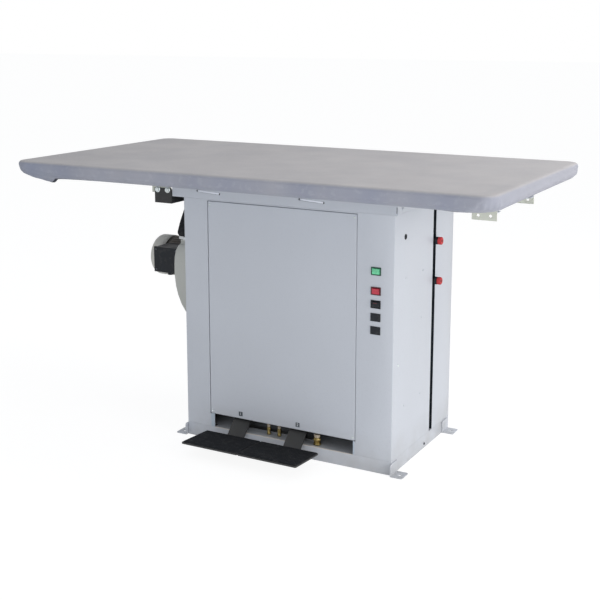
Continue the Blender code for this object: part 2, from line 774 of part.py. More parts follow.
def build_slot_strip(name, x, side):
    """A dark channel that closes the slot at one side of the cabinet."""
    middle = STRIP_SHEET / 2
    y0 = MAIN_BACK_Y + SEAT + middle
    y1 = REAR_FRONT_Y - SEAT - middle
    web_x = x - side * (STRIP_RECESS + middle)
    back_x = web_x - side * STRIP_DEPTH
    z = SHELL_BOTTOM
    path = [(back_x, y0, z), (web_x, y0, z), (web_x, y1, z), (back_x, y1, z)]
    shape = folded(path, (0.0, 0.0, SHELL_TOP - SHELL_BOTTOM))
    return walled(f"slot_strip_{name}", shape, BLACK_PLASTIC, STRIP_SHEET, 0.0)


def build_slot_strips():
    """Both channels, the right one with a hole for each valve."""
    build_slot_strip("left", LEFT_X, -1)
    strip = build_slot_strip("right", RIGHT_X, 1)
    web_x = RIGHT_X - STRIP_RECESS
    holes = bmesh.new()
    for height in VALVE_HEIGHTS:
        start = (web_x - OVERRUN, valve_y(), height)
        end = (web_x + OVERRUN, valve_y(), height)
        add_rod(holes, start, end, VALVE_BODY_RADIUS + SEAT, 16)
    cut(strip, holes)


def build_valve(name, height):
    """A valve through the strip, and its lobed knob."""
    face_x = RIGHT_X - STRIP_RECESS + SEAT
    tip_x = RIGHT_X + KNOB_STAND_OFF - SEAT
    profile = [
        (0.0, tip_x),
        (VALVE_STEM_RADIUS, tip_x),
        (VALVE_STEM_RADIUS, face_x + VALVE_FLANGE_LENGTH),
        (VALVE_FLANGE_RADIUS, face_x + VALVE_FLANGE_LENGTH),
        (VALVE_FLANGE_RADIUS, face_x),
        (VALVE_BODY_RADIUS, face_x),
        (VALVE_BODY_RADIUS, face_x - VALVE_BODY_LENGTH),
        (0.0, face_x - VALVE_BODY_LENGTH),
    ]
    turned(f"valve_{name}", profile, (0.0, valve_y(), height), (1, 0, 0), 16, BRASS)
    start = RIGHT_X + KNOB_STAND_OFF
    end = start + KNOB_LENGTH

    def lobed(radius):
        points = []
        for i in range(KNOB_LOBES * 3):
            angle = math.tau * i / (KNOB_LOBES * 3)
            reach = radius - KNOB_LOBE_DEPTH * (1 - math.cos(KNOB_LOBES * angle)) / 2
            points.append((reach * math.cos(angle), reach * math.sin(angle)))
        return points

    rings = []
    for x, radius in (
        (start, KNOB_RADIUS - KNOB_CHAMFER),
        (start + KNOB_CHAMFER, KNOB_RADIUS),
        (end - KNOB_CHAMFER, KNOB_RADIUS),
        (end, KNOB_RADIUS - KNOB_CHAMFER),
    ):
        ring = [(a + valve_y(), b + height) for a, b in lobed(radius)]
        rings.append(sideways(ring, x))
    shape = loft(rings, cap_first=True, cap_last=True)
    origin = (start, valve_y(), height)
    mesh_object(f"valve_knob_{name}", shape, RED_PLASTIC, origin)


# Switch column


def build_switch_body(name, z, pocket):
    """A snap-in switch body or blank, with a pocket where it holds a rocker."""
    x = RIGHT_X - SWITCH_FROM_RIGHT
    front = FRONT_Y - SEAT - BEZEL_THICKNESS
    low = (x - BEZEL_WIDTH / 2, front, z - BEZEL_HEIGHT / 2)
    high = (x + BEZEL_WIDTH / 2, FRONT_Y - SEAT, z + BEZEL_HEIGHT / 2)
    body = block(name, low, high, BLACK_PLASTIC)
    low = (x - SWITCH_BODY_WIDTH / 2, front + BEZEL_THICKNESS / 2, z - SWITCH_BODY_HEIGHT / 2)
    high = (x + SWITCH_BODY_WIDTH / 2, front + SWITCH_BODY_DEPTH, z + SWITCH_BODY_HEIGHT / 2)
    join(body, box(low, high))
    if pocket:
        half_width = ROCKER_WIDTH / 2 + ROCKER_SIDE_GAP
        half_height = ROCKER_HEIGHT / 2 + ROCKER_END_GAP
        low = (x - half_width, front - OVERRUN, z - half_height)
        high = (x + half_width, front + POCKET_DEPTH, z + half_height)
        cut(body, box(low, high))


def build_rocker(name, z, material):
    """A rocker with two faces at a shallow angle, pressed at its lower half."""
    x = RIGHT_X - SWITCH_FROM_RIGHT
    front = FRONT_Y - SEAT - BEZEL_THICKNESS
    pivot = Vector((x, front + ROCKER_PIVOT_DEPTH, z))
    half = ROCKER_HEIGHT / 2
    dip = half * math.tan(ROCKER_TILT)
    profile = [
        (front - ROCKER_PROUD, z - half),
        (front + ROCKER_DEPTH, z - half),
        (front + ROCKER_DEPTH, z + half),
        (front - ROCKER_PROUD, z + half),
        (front - ROCKER_PROUD + dip, z),
    ]
    rings = [
        sideways(profile, x - ROCKER_WIDTH / 2),
        sideways(profile, x + ROCKER_WIDTH / 2),
    ]
    shape = loft(rings, cap_first=True, cap_last=True)
    turn = Matrix.Rotation(ROCKER_TILT, 3, "X")
    bmesh.ops.rotate(shape, verts=shape.verts, cent=pivot, matrix=turn)
    mesh_object(name, shape, material, pivot)


def build_switches():
    """Three rocker switches and two blanks, one above another."""
    lenses = (GREEN_LENS, RED_LENS, BLACK_PLASTIC)
    for name, z, lens in zip(SWITCH_NAMES, SWITCH_HEIGHTS, lenses):
        build_switch_body(f"switch_{name}", z, True)
        build_rocker(f"rocker_{name}", z, lens)
    for name, z in zip(BLANK_NAMES, SWITCH_HEIGHTS[len(SWITCH_NAMES):]):
        build_switch_body(f"blank_{name}", z, False)


# Pedals


def pedal_x(side):
    """The middle of a pedal plate."""
    return PEDAL_MIDDLE + side * PEDAL_PITCH / 2


def rod_x(side):
    """The middle of a pedal's arm, where its push rod stands."""
    return pedal_x(side) + ARM_SHIFT


def crank_radius(rod_side):
    """The crank whose pin rises as far as the pedal's rear end while the damper turns."""
    rise = (crank_y(rod_side) - PIVOT_Y) * PEDAL_TRAVEL
    swing = 2 * math.sin(DAMPER_TURN / 2) - PEDAL_TRAVEL * math.cos(DAMPER_TURN / 2)
    return rise / swing


def crank_y(rod_side):
    """The damper shaft's place front to back."""
    return DUCT_Y if rod_side < 0 else SPIGOT_Y


def rod_y(rod_side):
    """Where a push rod stands, at the mean reach of the crank's pin."""
    return crank_y(rod_side) + crank_radius(rod_side) * math.cos(DAMPER_TURN / 2)


def damper_z(rod_side):
    """The height of a damper's shaft."""
    return DAMPER_HEIGHT if rod_side < 0 else (COLLAR_BOTTOM + COLLAR_TOP) / 2


def build_pedal(name, side):
    """A pedal plate on its cranked arm, with the hub and the rear arm that lifts the rod."""
    x = pedal_x(side)
    arm_x = rod_x(side)
    back_y = FRONT_Y - PEDAL_SET_BACK
    front_y = back_y - PEDAL_DEPTH
    steel_top = PEDAL_TOP - MAT_THICKNESS - MAT_RIB_HEIGHT - SEAT
    half = PEDAL_WIDTH / 2
    rim = PEDAL_THICKNESS / 2
    flat_z = steel_top - rim
    low_z = steel_top - PEDAL_RIM
    rings = []
    for inset, z in ((rim, low_z), (rim, flat_z)):
        ring = rounded_ring(
            x - half + inset, x + half - inset, front_y + inset, back_y - inset, FOLD_RADIUS, 2
        )
        rings.append(level(ring, z))
    pivot = (arm_x, PIVOT_Y, PIVOT_HEIGHT)
    shape = loft(rings, cap_last=True)
    lever = walled(f"pedal_lever_{name}", shape, BLACK_PAINT, PEDAL_THICKNESS, 0.0, pivot)
    arm_half = ARM_WIDTH / 2
    low = flat_z - ARM_THICKNESS / 2
    slope_y = back_y - ARM_START
    path = [
        (arm_x - arm_half, front_y + PEDAL_DEPTH / 2, low),
        (arm_x - arm_half, slope_y, low),
        (arm_x - arm_half, slope_y + PIVOT_HEIGHT - low, PIVOT_HEIGHT),
        (arm_x - arm_half, PIVOT_Y, PIVOT_HEIGHT),
    ]
    join(lever, applied("arm", folded(path, (ARM_WIDTH, 0.0, 0.0)), ARM_THICKNESS))
    hub_start = (arm_x - arm_half, PIVOT_Y, PIVOT_HEIGHT)
    hub_end = (arm_x + arm_half, PIVOT_Y, PIVOT_HEIGHT)
    join(lever, rod(hub_start, hub_end, HUB_RADIUS, 20))
    low = (arm_x - REAR_ARM_WIDTH / 2, PIVOT_Y, PIVOT_HEIGHT - ARM_THICKNESS / 2)
    high_y = rod_y(side) + REAR_ARM_END
    high = (arm_x + REAR_ARM_WIDTH / 2, high_y, PIVOT_HEIGHT + ARM_THICKNESS / 2)
    join(lever, box(low, high))
    start = (arm_x - arm_half - OVERRUN, PIVOT_Y, PIVOT_HEIGHT)
    end = (arm_x + arm_half + OVERRUN, PIVOT_Y, PIVOT_HEIGHT)
    cut(lever, rod(start, end, SHAFT_RADIUS + BEARING_GAP, 20))
    build_mat(f"pedal_mat_{name}", side, steel_top + SEAT, front_y, back_y, pivot)


def build_mat(name, side, z, front_y, back_y, pivot):
    """The ribbed rubber mat on a pedal plate, its ribs running front to back."""
    half = PEDAL_WIDTH / 2 - MAT_MARGIN
    left = pedal_x(side) - half
    pitch = 2 * half / MAT_RIBS
    top = z + MAT_THICKNESS
    outline = [(left, z), (left + 2 * half, z)]
    for i in reversed(range(MAT_RIBS)):
        start = left + i * pitch
        outline.append((start + pitch * 7 / 8, top))
        outline.append((start + pitch * 5 / 8, top + MAT_RIB_HEIGHT))
        outline.append((start + pitch * 3 / 8, top + MAT_RIB_HEIGHT))
        outline.append((start + pitch / 8, top))
    low, high = front_y + MAT_MARGIN, back_y - MAT_MARGIN
    rings = [upright(outline, high), upright(outline, low)]
    mesh_object(name, loft(rings, cap_first=True, cap_last=True), BLACK_RUBBER, pivot)


def build_pedal_bearing():
    """The shaft that both pedals turn on, and the folded bracket that holds it."""
    gap = BRACKET_SIDE_GAP
    left = rod_x(-1) - ARM_WIDTH / 2 - gap
    right = rod_x(1) + ARM_WIDTH / 2 + gap
    middle = BRACKET_SHEET / 2
    floor = PAN_TOP + SEAT + middle
    top = PIVOT_HEIGHT + HUB_RADIUS
    y = PIVOT_Y - BRACKET_DEPTH / 2
    path = [(left, y, top), (left, y, floor), (right, y, floor), (right, y, top)]
    shape = folded(path, (0.0, BRACKET_DEPTH, 0.0))
    bracket = walled("pedal_bracket", shape, ZINC_STEEL, BRACKET_SHEET, 0.0)
    start = (left - OVERRUN, PIVOT_Y, PIVOT_HEIGHT)
    end = (right + OVERRUN, PIVOT_Y, PIVOT_HEIGHT)
    cut(bracket, rod(start, end, SHAFT_RADIUS + BEARING_GAP, 16))
    start = (left - BRACKET_SHEET, PIVOT_Y, PIVOT_HEIGHT)
    end = (right + BRACKET_SHEET, PIVOT_Y, PIVOT_HEIGHT)
    shaft = mesh_object("pedal_shaft", rod(start, end, SHAFT_RADIUS, 20), ZINC_STEEL, start)
    smooth(shaft)


def build_push_rod(name, side):
    """A push rod: a ball end on the pedal's rear arm, and an eye round the damper's crank pin."""
    x, y = rod_x(side), rod_y(side)
    ball_z = PIVOT_HEIGHT + ARM_THICKNESS / 2 + SEAT + ROD_BALL_RADIUS
    pin_z = damper_z(side) - crank_radius(side) * math.sin(DAMPER_TURN / 2)
    origin = (x, y, ball_z)
    shape = rod((x, y, ball_z), (x, y, pin_z), ROD_RADIUS, 12)
    push_rod = mesh_object(f"push_rod_{name}", shape, ZINC_STEEL, origin)
    ball = bmesh.new()
    place = Matrix.Translation((x, y, ball_z))
    bmesh.ops.create_uvsphere(
        ball, u_segments=10, v_segments=6, radius=ROD_BALL_RADIUS, matrix=place
    )
    join(push_rod, ball)
    half_y, half_z = ROD_EYE_WIDTH / 2, ROD_EYE_HEIGHT / 2
    half_x = ROD_EYE_THICKNESS / 2
    join(
        push_rod,
        box((x - half_x, y - half_y, pin_z - half_z), (x + half_x, y + half_y, pin_z + half_z)),
    )
    slot_y = CRANK_PIN_RADIUS + PIN_CLEARANCE + crank_radius(side) * (
        1 - math.cos(DAMPER_TURN / 2)
    )
    slot_z = CRANK_PIN_RADIUS + PIN_CLEARANCE
    low = (x - OVERRUN, y - slot_y, pin_z - slot_z)
    cut(push_rod, box(low, (x + OVERRUN, y + slot_y, pin_z + slot_z)))


def build_damper(name, side, disc_x, disc_radius, shaft_end):
    """A butterfly damper: disc, shaft, crank and pin in one turning piece, shown closed."""
    y, z = crank_y(side), damper_z(side)
    x = rod_x(side)
    toward = 1 if disc_x > x else -1
    half_eye = ROD_EYE_THICKNESS / 2
    crank_near = x + toward * (half_eye + CRANK_GAP)
    crank_far = crank_near + toward * CRANK_THICKNESS
    origin = (disc_x, y, z)
    half = DAMPER_PLATE / 2
    shape = rod((disc_x, y, z - half), (disc_x, y, z + half), disc_radius, 24)
    damper = mesh_object(name, shape, ZINC_STEEL, origin)
    join(damper, rod((crank_near, y, z), (shaft_end, y, z), DAMPER_SHAFT_RADIUS, 12))
    reach = crank_radius(side)
    angle = -DAMPER_TURN / 2
    pin_y, pin_z = y + reach * math.cos(angle), z + reach * math.sin(angle)
    web = bmesh.new()
    add_box(
        web,
        (min(crank_near, crank_far), y - CRANK_WIDTH / 2, z - CRANK_WIDTH / 2),
        (max(crank_near, crank_far), y + reach + CRANK_WIDTH / 2, z + CRANK_WIDTH / 2),
    )
    turn = Matrix.Rotation(angle, 3, "X")
    bmesh.ops.rotate(web, verts=web.verts, cent=(x, y, z), matrix=turn)
    join(damper, web)
    tip = x - toward * (half_eye + CRANK_GAP)
    join(damper, rod((crank_far, pin_y, pin_z), (tip, pin_y, pin_z), CRANK_PIN_RADIUS, 10))


def build_dampers():
    """The suction damper in its duct, and the blow damper in the hopper's spigot."""
    duct_x = rod_x(-1) + DUCT_FROM_ROD
    tip = duct_x + DUCT_RADIUS + OVERRUN / 2
    reach = DUCT_RADIUS - DUCT_WALL - DAMPER_RIM_GAP
    build_damper("suction_damper", -1, duct_x, reach, tip)
    tip = SPIGOT_X - SPIGOT_RADIUS - OVERRUN / 2
    reach = SPIGOT_RADIUS - SPIGOT_WALL - DAMPER_RIM_GAP
    build_damper("blow_damper", 1, SPIGOT_X, reach, tip)


def build_suction_duct():
    """The round duct under the hopper, open at both ends, with holes for the damper's shaft."""
    x = rod_x(-1) + DUCT_FROM_ROD
    top = HOPPER_BOTTOM - SEAT
    inner = DUCT_RADIUS - DUCT_WALL
    flange = DUCT_RADIUS + DUCT_FLANGE
    profile = [
        (inner, top),
        (flange, top),
        (flange, top - SHEET),
        (DUCT_RADIUS, top - SHEET),
        (DUCT_RADIUS, DUCT_BOTTOM),
        (inner, DUCT_BOTTOM),
        (inner, top),
    ]
    duct = turned("suction_duct", profile, (x, DUCT_Y, 0.0), (0, 0, 1), 24, ZINC_STEEL)
    start = (x - DUCT_RADIUS - OVERRUN, DUCT_Y, DAMPER_HEIGHT)
    end = (x + DUCT_RADIUS + OVERRUN, DUCT_Y, DAMPER_HEIGHT)
    cut(duct, rod(start, end, DAMPER_SHAFT_RADIUS + BEARING_GAP, 12))


# Collar, rails, plates and socket


def channel_path(web, lip, low, high, thickness):
    """The middle line of a C-channel: (across, height) points round its web."""
    half = thickness / 2
    step = half if lip > web else -half
    return [(lip, high - half), (web + step, high - half), (web + step, low + half), (lip, low + half)]


def build_collar():
    """The welded collar between the cabinet and the rails: two channels and two cross members."""
    x0, x1 = LEFT_X - COLLAR_LEFT, RIGHT_X + COLLAR_RIGHT
    rear_y = FRONT_Y + COLLAR_REAR_FROM_FRONT
    path = channel_path(FRONT_Y, FRONT_Y + COLLAR_RAIL_WIDTH, COLLAR_BOTTOM, COLLAR_TOP, SHEET)
    front = folded([(x0, y, z) for y, z in path], (x1 - x0, 0.0, 0.0))
    collar = walled("collar_frame", front, CABINET_GREY, SHEET, 0.0)
    web = rear_y + COLLAR_RAIL_WIDTH
    path = channel_path(web, rear_y, COLLAR_BOTTOM, COLLAR_TOP, SHEET)
    rear = applied("rear", folded([(x0, y, z) for y, z in path], (x1 - x0, 0.0, 0.0)), SHEET)
    for web_x, lip_x in (
        (LEFT_X + CROSS_INSET, LEFT_X + CROSS_INSET + COLLAR_RAIL_WIDTH),
        (RIGHT_X - CROSS_INSET, RIGHT_X - CROSS_INSET - COLLAR_RAIL_WIDTH),
    ):
        path = channel_path(web_x, lip_x, COLLAR_BOTTOM, COLLAR_TOP, SHEET)
        start_y = FRONT_Y + SHEET / 2
        span = rear_y + COLLAR_RAIL_WIDTH - SHEET / 2 - start_y
        cross = folded([(x, start_y, z) for x, z in path], (0.0, span, 0.0))
        join(collar, applied("cross", cross, SHEET))
    join(collar, rear)
    slots = bmesh.new()
    z = COLLAR_TOP - COLLAR_SLOT_FROM_TOP
    half = COLLAR_SLOT_HEIGHT / 2
    for from_left in COLLAR_SLOTS_FROM_LEFT:
        start = x0 + from_left
        flat = rounded_ring(start, start + COLLAR_SLOT_LENGTH, z - half, z + half, half, 3)
        middle = start + COLLAR_SLOT_LENGTH / 2
        ring = [(a, b - (a - middle) * math.tan(COLLAR_SLOT_TILT)) for a, b in flat]
        shape = loft(
            [upright(ring, FRONT_Y + OVERRUN), upright(ring, FRONT_Y - OVERRUN)],
            cap_first=True,
            cap_last=True,
        )
        mesh = bpy.data.meshes.new("slot")
        shape.to_mesh(mesh)
        shape.free()
        slots.from_mesh(mesh)
        bpy.data.meshes.remove(mesh)
    cut(collar, slots)
    low = (RIGHT_X, FRONT_Y + SHEET * 3 / 2, COLLAR_BOTTOM - OVERRUN)
    high = (x1 + OVERRUN, FRONT_Y + COLLAR_RAIL_WIDTH + OVERRUN, COLLAR_TOP + OVERRUN)
    cut(collar, box(low, high))
    shaft_y, shaft_z = crank_y(1), damper_z(1)
    start = (LEFT_X - COLLAR_LEFT, shaft_y, shaft_z)
    end = (LEFT_X + CROSS_INSET + COLLAR_RAIL_WIDTH + OVERRUN, shaft_y, shaft_z)
    cut(collar, rod(start, end, DAMPER_SHAFT_RADIUS + BEARING_GAP, 12))


def build_rails():
    """Two long channels that carry the tray, with an accessory plate at each end."""
    x0, x1 = LEFT_X - RAIL_LEFT, TABLE_LENGTH / 2 - RAIL_FROM_END
    front_web = FRONT_Y + PLATE_THICKNESS + SEAT
    rear_web = FRONT_Y + COLLAR_REAR_FROM_FRONT + COLLAR_RAIL_WIDTH
    rails = (
        ("front", front_web, front_web + RAIL_WIDTH, FRONT_Y),
        ("rear", rear_web, rear_web - RAIL_WIDTH, rear_web + SEAT),
    )
    for name, web, lip, plate_y in rails:
        path = channel_path(web, lip, RAIL_BOTTOM, RAIL_TOP, RAIL_SHEET)
        shape = folded([(x0, y, z) for y, z in path], (x1 - x0, 0.0, 0.0))
        walled(f"rail_{name}", shape, CABINET_GREY, RAIL_SHEET, 0.0)
        for side, x in (("left", x0), ("right", x1 - PLATE_WIDTH)):
            low = (x, plate_y, PLATE_BOTTOM)
            high = (x + PLATE_WIDTH, plate_y + PLATE_THICKNESS, RAIL_TOP - SEAT)
            plate = block(f"accessory_plate_{name}_{side}", low, high, CREAM_PAINT)
            holes = bmesh.new()
            for step in (-1, 1):
                hole_x = x + PLATE_WIDTH / 2 + step * PLATE_HOLE_PITCH / 2
                z = PLATE_BOTTOM + PLATE_HOLE_HEIGHT
                start = (hole_x, plate_y - OVERRUN, z)
                end = (hole_x, plate_y + PLATE_THICKNESS + OVERRUN, z)
                add_rod(holes, start, end, PLATE_HOLE_RADIUS, 12)
            cut(plate, holes)


def build_socket():
    """The black socket on the front left plate, a box open at its back with a flange in front."""
    x0 = LEFT_X - RAIL_LEFT + SOCKET_SHIFT
    x1 = x0 + SOCKET_WIDTH
    y0 = FRONT_Y - SEAT - SOCKET_WALL
    top = PLATE_BOTTOM - SEAT
    low = (x0, y0, SOCKET_BOTTOM)
    socket = block("accessory_socket", low, (x1, FRONT_Y - SEAT, SOCKET_FLANGE_TOP), BLACK_PAINT)
    low = (x0, y0 + SOCKET_WALL / 2, SOCKET_BOTTOM)
    end_y = FRONT_Y + SOCKET_LENGTH
    join(socket, box(low, (x1, end_y, top)))
    wall = SOCKET_WALL
    low = (x0 + wall, FRONT_Y, SOCKET_BOTTOM + wall)
    cut(socket, box(low, (x1 - wall, end_y + OVERRUN, top - wall)))


# Top


def table_ring(inset, z, corner, steps=TRAY_CORNER_STEPS):
    """A ring round the table top, drawn in by an inset."""
    half_x, half_y = TABLE_LENGTH / 2 - inset, TABLE_WIDTH / 2 - inset
    return level(rounded_ring(-half_x, half_x, -half_y, half_y, corner, steps), z)


def gathered(ring, depth):
    """Draws a cover ring into small folds round its corners."""
    points = []
    per_corner = COVER_CORNER_STEPS + 1
    for i, (x, y, z) in enumerate(ring):
        share = (i % per_corner) / COVER_CORNER_STEPS
        swell = depth * math.sin(math.pi * share) * math.cos(math.tau * COVER_FOLDS * share)
        length = math.hypot(x, y)
        points.append((x + swell * x / length, y + swell * y / length, z))
    return points


def build_cover():
    """The fitted cover: flat top, rounded shoulder, band, and a hem gathered under the tray."""
    top = TABLE_HEIGHT
    shoulder = COVER_SHOULDER
    band_top = top - shoulder
    band_low = band_top - COVER_BAND * 2 / 3
    hem_z = band_low - COVER_TUCK
    profile = [
        (COVER_HEM_INSET, hem_z, COVER_CORNER / 2, COVER_FOLD_DEPTH / 2),
        (COVER_HEM_INSET * 3 / 4, hem_z + COVER_TUCK / 12, COVER_CORNER / 2, COVER_FOLD_DEPTH),
        (COVER_HEM_INSET / 3, hem_z + COVER_TUCK / 3, COVER_CORNER * 2 / 3, COVER_FOLD_DEPTH),
        (COVER_HEM_INSET / 12, hem_z + COVER_TUCK * 2 / 3, COVER_CORNER, COVER_FOLD_DEPTH),
        (0.0, band_low, COVER_CORNER, COVER_FOLD_DEPTH / 2),
        (0.0, band_top, COVER_CORNER, 0.0),
        (shoulder / 4, top - shoulder / 4, COVER_CORNER, 0.0),
        (shoulder, top, COVER_CORNER - shoulder / 2, 0.0),
    ]
    rings = []
    for inset, z, corner, fold in profile:
        rings.append(gathered(table_ring(inset, z, corner, COVER_CORNER_STEPS), fold))
    walled("table_cover", loft(rings, cap_last=True), COVER_CLOTH, COVER_THICKNESS)


def build_pad():
    """The foam pad under the cover."""
    gap = COVER_THICKNESS + SEAT
    top = TABLE_HEIGHT - gap
    shoulder = COVER_SHOULDER
    corner = COVER_CORNER
    rings = [
        table_ring(TRAY_INSET, PAD_BOTTOM, corner),
        table_ring(TRAY_INSET, top - shoulder, corner),
        table_ring(gap + shoulder / 2, top - shoulder / 4, corner),
        table_ring(gap + shoulder, top, corner - shoulder / 2),
    ]
    shape = loft(rings, cap_first=True, cap_last=True)
    mesh_object("foam_pad", shape, PAD_FOAM)


def build_perforated_plate():
    """The metal top under the pad, with its grid of suction holes."""
    low_z = TRAY_TOP + SEAT
    rings = [
        table_ring(TRAY_INSET, low_z, COVER_CORNER),
        table_ring(TRAY_INSET, low_z + PLATE_SHEET, COVER_CORNER),
    ]
    shape = loft(rings, cap_first=True, cap_last=True)
    plate = mesh_object("perforated_plate", shape, ZINC_STEEL)
    holes = bmesh.new()
    span_x = TABLE_LENGTH - 2 * SUCTION_MARGIN
    span_y = TABLE_WIDTH - 2 * SUCTION_MARGIN
    for column in range(HOLE_COLUMNS):
        x = span_x * (column / (HOLE_COLUMNS - 1) - 1 / 2)
        for row in range(HOLE_ROWS):
            y = span_y * (row / (HOLE_ROWS - 1) - 1 / 2)
            start = (x, y, low_z - OVERRUN)
            end = (x, y, low_z + PLATE_SHEET + OVERRUN)
            add_rod(holes, start, end, SUCTION_HOLE_RADIUS, 6)
    cut(plate, holes)


def build_tray():
    """The sheet-metal tray under the perforated plate, with its opening into the hopper."""
    rings = [
        table_ring(TRAY_TUCK_INSET, TRAY_BOTTOM, COVER_CORNER / 3),
        table_ring(TRAY_INSET * 2, TRAY_TOP - TRAY_BAND * 3 / 2, COVER_CORNER),
        table_ring(TRAY_INSET, TRAY_TOP - TRAY_BAND, COVER_CORNER),
        table_ring(TRAY_INSET, TRAY_TOP, COVER_CORNER),
    ]
    tray = walled("table_tray", loft(rings, cap_first=True), CABINET_GREY, SHEET)
    x0, x1, y0, y1 = hopper_plan(-HOPPER_LIP)
    low = (x0, y0, TRAY_BOTTOM - OVERRUN)
    cut(tray, box(low, (x1, y1, TRAY_BOTTOM + OVERRUN)))


def hopper_plan(grow):
    """The hopper's outline in plan, grown by a margin."""
    return (
        LEFT_X - HOPPER_LEFT - grow,
        RIGHT_X - HOPPER_RIGHT + grow,
        FRONT_Y + HOPPER_FRONT - grow,
        FRONT_Y + HOPPER_BACK + grow,
    )


def build_hopper():
    """The shallow box under the tray, with a hole for the duct and the spigot for the boot."""
    top = TRAY_BOTTOM - SEAT - SHEET

    def ring(grow, z):
        return level(rounded_ring(*hopper_plan(grow), FOLD_RADIUS, 2), z)

    rings = [ring(0.0, HOPPER_BOTTOM), ring(0.0, top), ring(HOPPER_FLANGE, top)]
    hopper = walled("hopper", loft(rings, cap_first=True), ZINC_STEEL, SHEET)
    start = (SPIGOT_X, SPIGOT_Y, SPIGOT_BOTTOM)
    join(hopper, rod(start, (SPIGOT_X, SPIGOT_Y, HOPPER_BOTTOM + SHEET / 2), SPIGOT_RADIUS, 28))
    tab_x = rod_x(1) - (ROD_EYE_THICKNESS / 2 + CRANK_GAP + CRANK_THICKNESS + TAB_GAP)
    half = BEARING_TAB / 2
    low = (tab_x - SHEET, SPIGOT_Y - half, damper_z(1) - half)
    high = (tab_x, SPIGOT_Y + half, HOPPER_BOTTOM + SHEET / 2)
    join(hopper, box(low, high))
    low = (SPIGOT_X, SPIGOT_Y, SPIGOT_BOTTOM - OVERRUN)
    high = (SPIGOT_X, SPIGOT_Y, HOPPER_BOTTOM + OVERRUN)
    cut(hopper, rod(low, high, SPIGOT_RADIUS - SPIGOT_WALL, 28))
    duct_x = rod_x(-1) + DUCT_FROM_ROD
    low = (duct_x, DUCT_Y, HOPPER_BOTTOM - OVERRUN)
    high = (duct_x, DUCT_Y, HOPPER_BOTTOM + OVERRUN)
    cut(hopper, rod(low, high, DUCT_RADIUS - DUCT_WALL, 24))
    start = (SPIGOT_X - SPIGOT_RADIUS - OVERRUN, SPIGOT_Y, damper_z(1))
    end = (tab_x + OVERRUN, SPIGOT_Y, damper_z(1))
    cut(hopper, rod(start, end, DAMPER_SHAFT_RADIUS + BEARING_GAP, 12))


# Blower


def scroll_outline():
    """The scroll's outline seen along X: the neck, then the spiral round to the tongue."""
    neck_front = FRONT_Y + NECK_FRONT
    points = [(neck_front + NECK_DEPTH, NECK_TOP), (neck_front, NECK_TOP)]
    spiral = []
    for i in range(SCROLL_STEPS + 1):
        angle = SCROLL_START + (SCROLL_TONGUE - SCROLL_START) * i / SCROLL_STEPS
        radius = scroll_radius(angle)
        spiral.append((FAN_Y + radius * math.cos(angle), FAN_HEIGHT + radius * math.sin(angle)))
    start_y, start_z = spiral[0]
    for i in range(SHOULDER_STEPS, 0, -1):
        turn = math.pi / 2 * i / SHOULDER_STEPS
        y = neck_front - (neck_front - start_y) * math.cos(turn)
        points.append((y, start_z + SHOULDER_RISE * math.sin(turn)))
    return points + spiral


def scroll_radius(angle):
    """How far the scroll's wall stands from the shaft: widest below its front, least at the tongue."""
    if angle < SCROLL_LOW:
        share = (angle - SCROLL_START) / (SCROLL_LOW - SCROLL_START)
        return SCROLL_FRONT_RADIUS + (SCROLL_LOW_RADIUS - SCROLL_FRONT_RADIUS) * share**2
    share = (angle - SCROLL_LOW) / (SCROLL_TONGUE - SCROLL_LOW)
    growth = (1 - share) ** SCROLL_GROWTH
    return SCROLL_TONGUE_RADIUS + (SCROLL_LOW_RADIUS - SCROLL_TONGUE_RADIUS) * growth


def build_scroll():
    """The blower's spiral housing with its neck, inlet collar and shaft hole."""
    outline = scroll_outline()
    shape = loft(
        [sideways(outline, SCROLL_LEFT), sideways(outline, SCROLL_RIGHT)],
        cap_first=True,
        cap_last=True,
    )
    mouth = [f for f in shape.faces if all(abs(v.co.z - NECK_TOP) < SEAT for v in f.verts)]
    bmesh.ops.delete(shape, geom=mouth, context="FACES_ONLY")
    scroll = mesh_object("blower_scroll", shape, FAN_GREY)
    bevel(scroll, SCROLL_EDGE, 1, 50.0)
    solidify(scroll, SCROLL_WALL)
    start = (SCROLL_RIGHT - SCROLL_WALL / 2, FAN_Y, FAN_HEIGHT)
    end = (LEFT_X - SEAT, FAN_Y, FAN_HEIGHT)
    join(scroll, rod(start, end, INLET_RADIUS + INLET_COLLAR, 32))
    start = (SCROLL_RIGHT - OVERRUN, FAN_Y, FAN_HEIGHT)
    end = (LEFT_X + OVERRUN, FAN_Y, FAN_HEIGHT)
    cut(scroll, rod(start, end, INLET_RADIUS, 32))
    start = (SCROLL_LEFT - OVERRUN, FAN_Y, FAN_HEIGHT)
    end = (SCROLL_LEFT + OVERRUN, FAN_Y, FAN_HEIGHT)
    cut(scroll, rod(start, end, IMPELLER_HUB_RADIUS, 20))


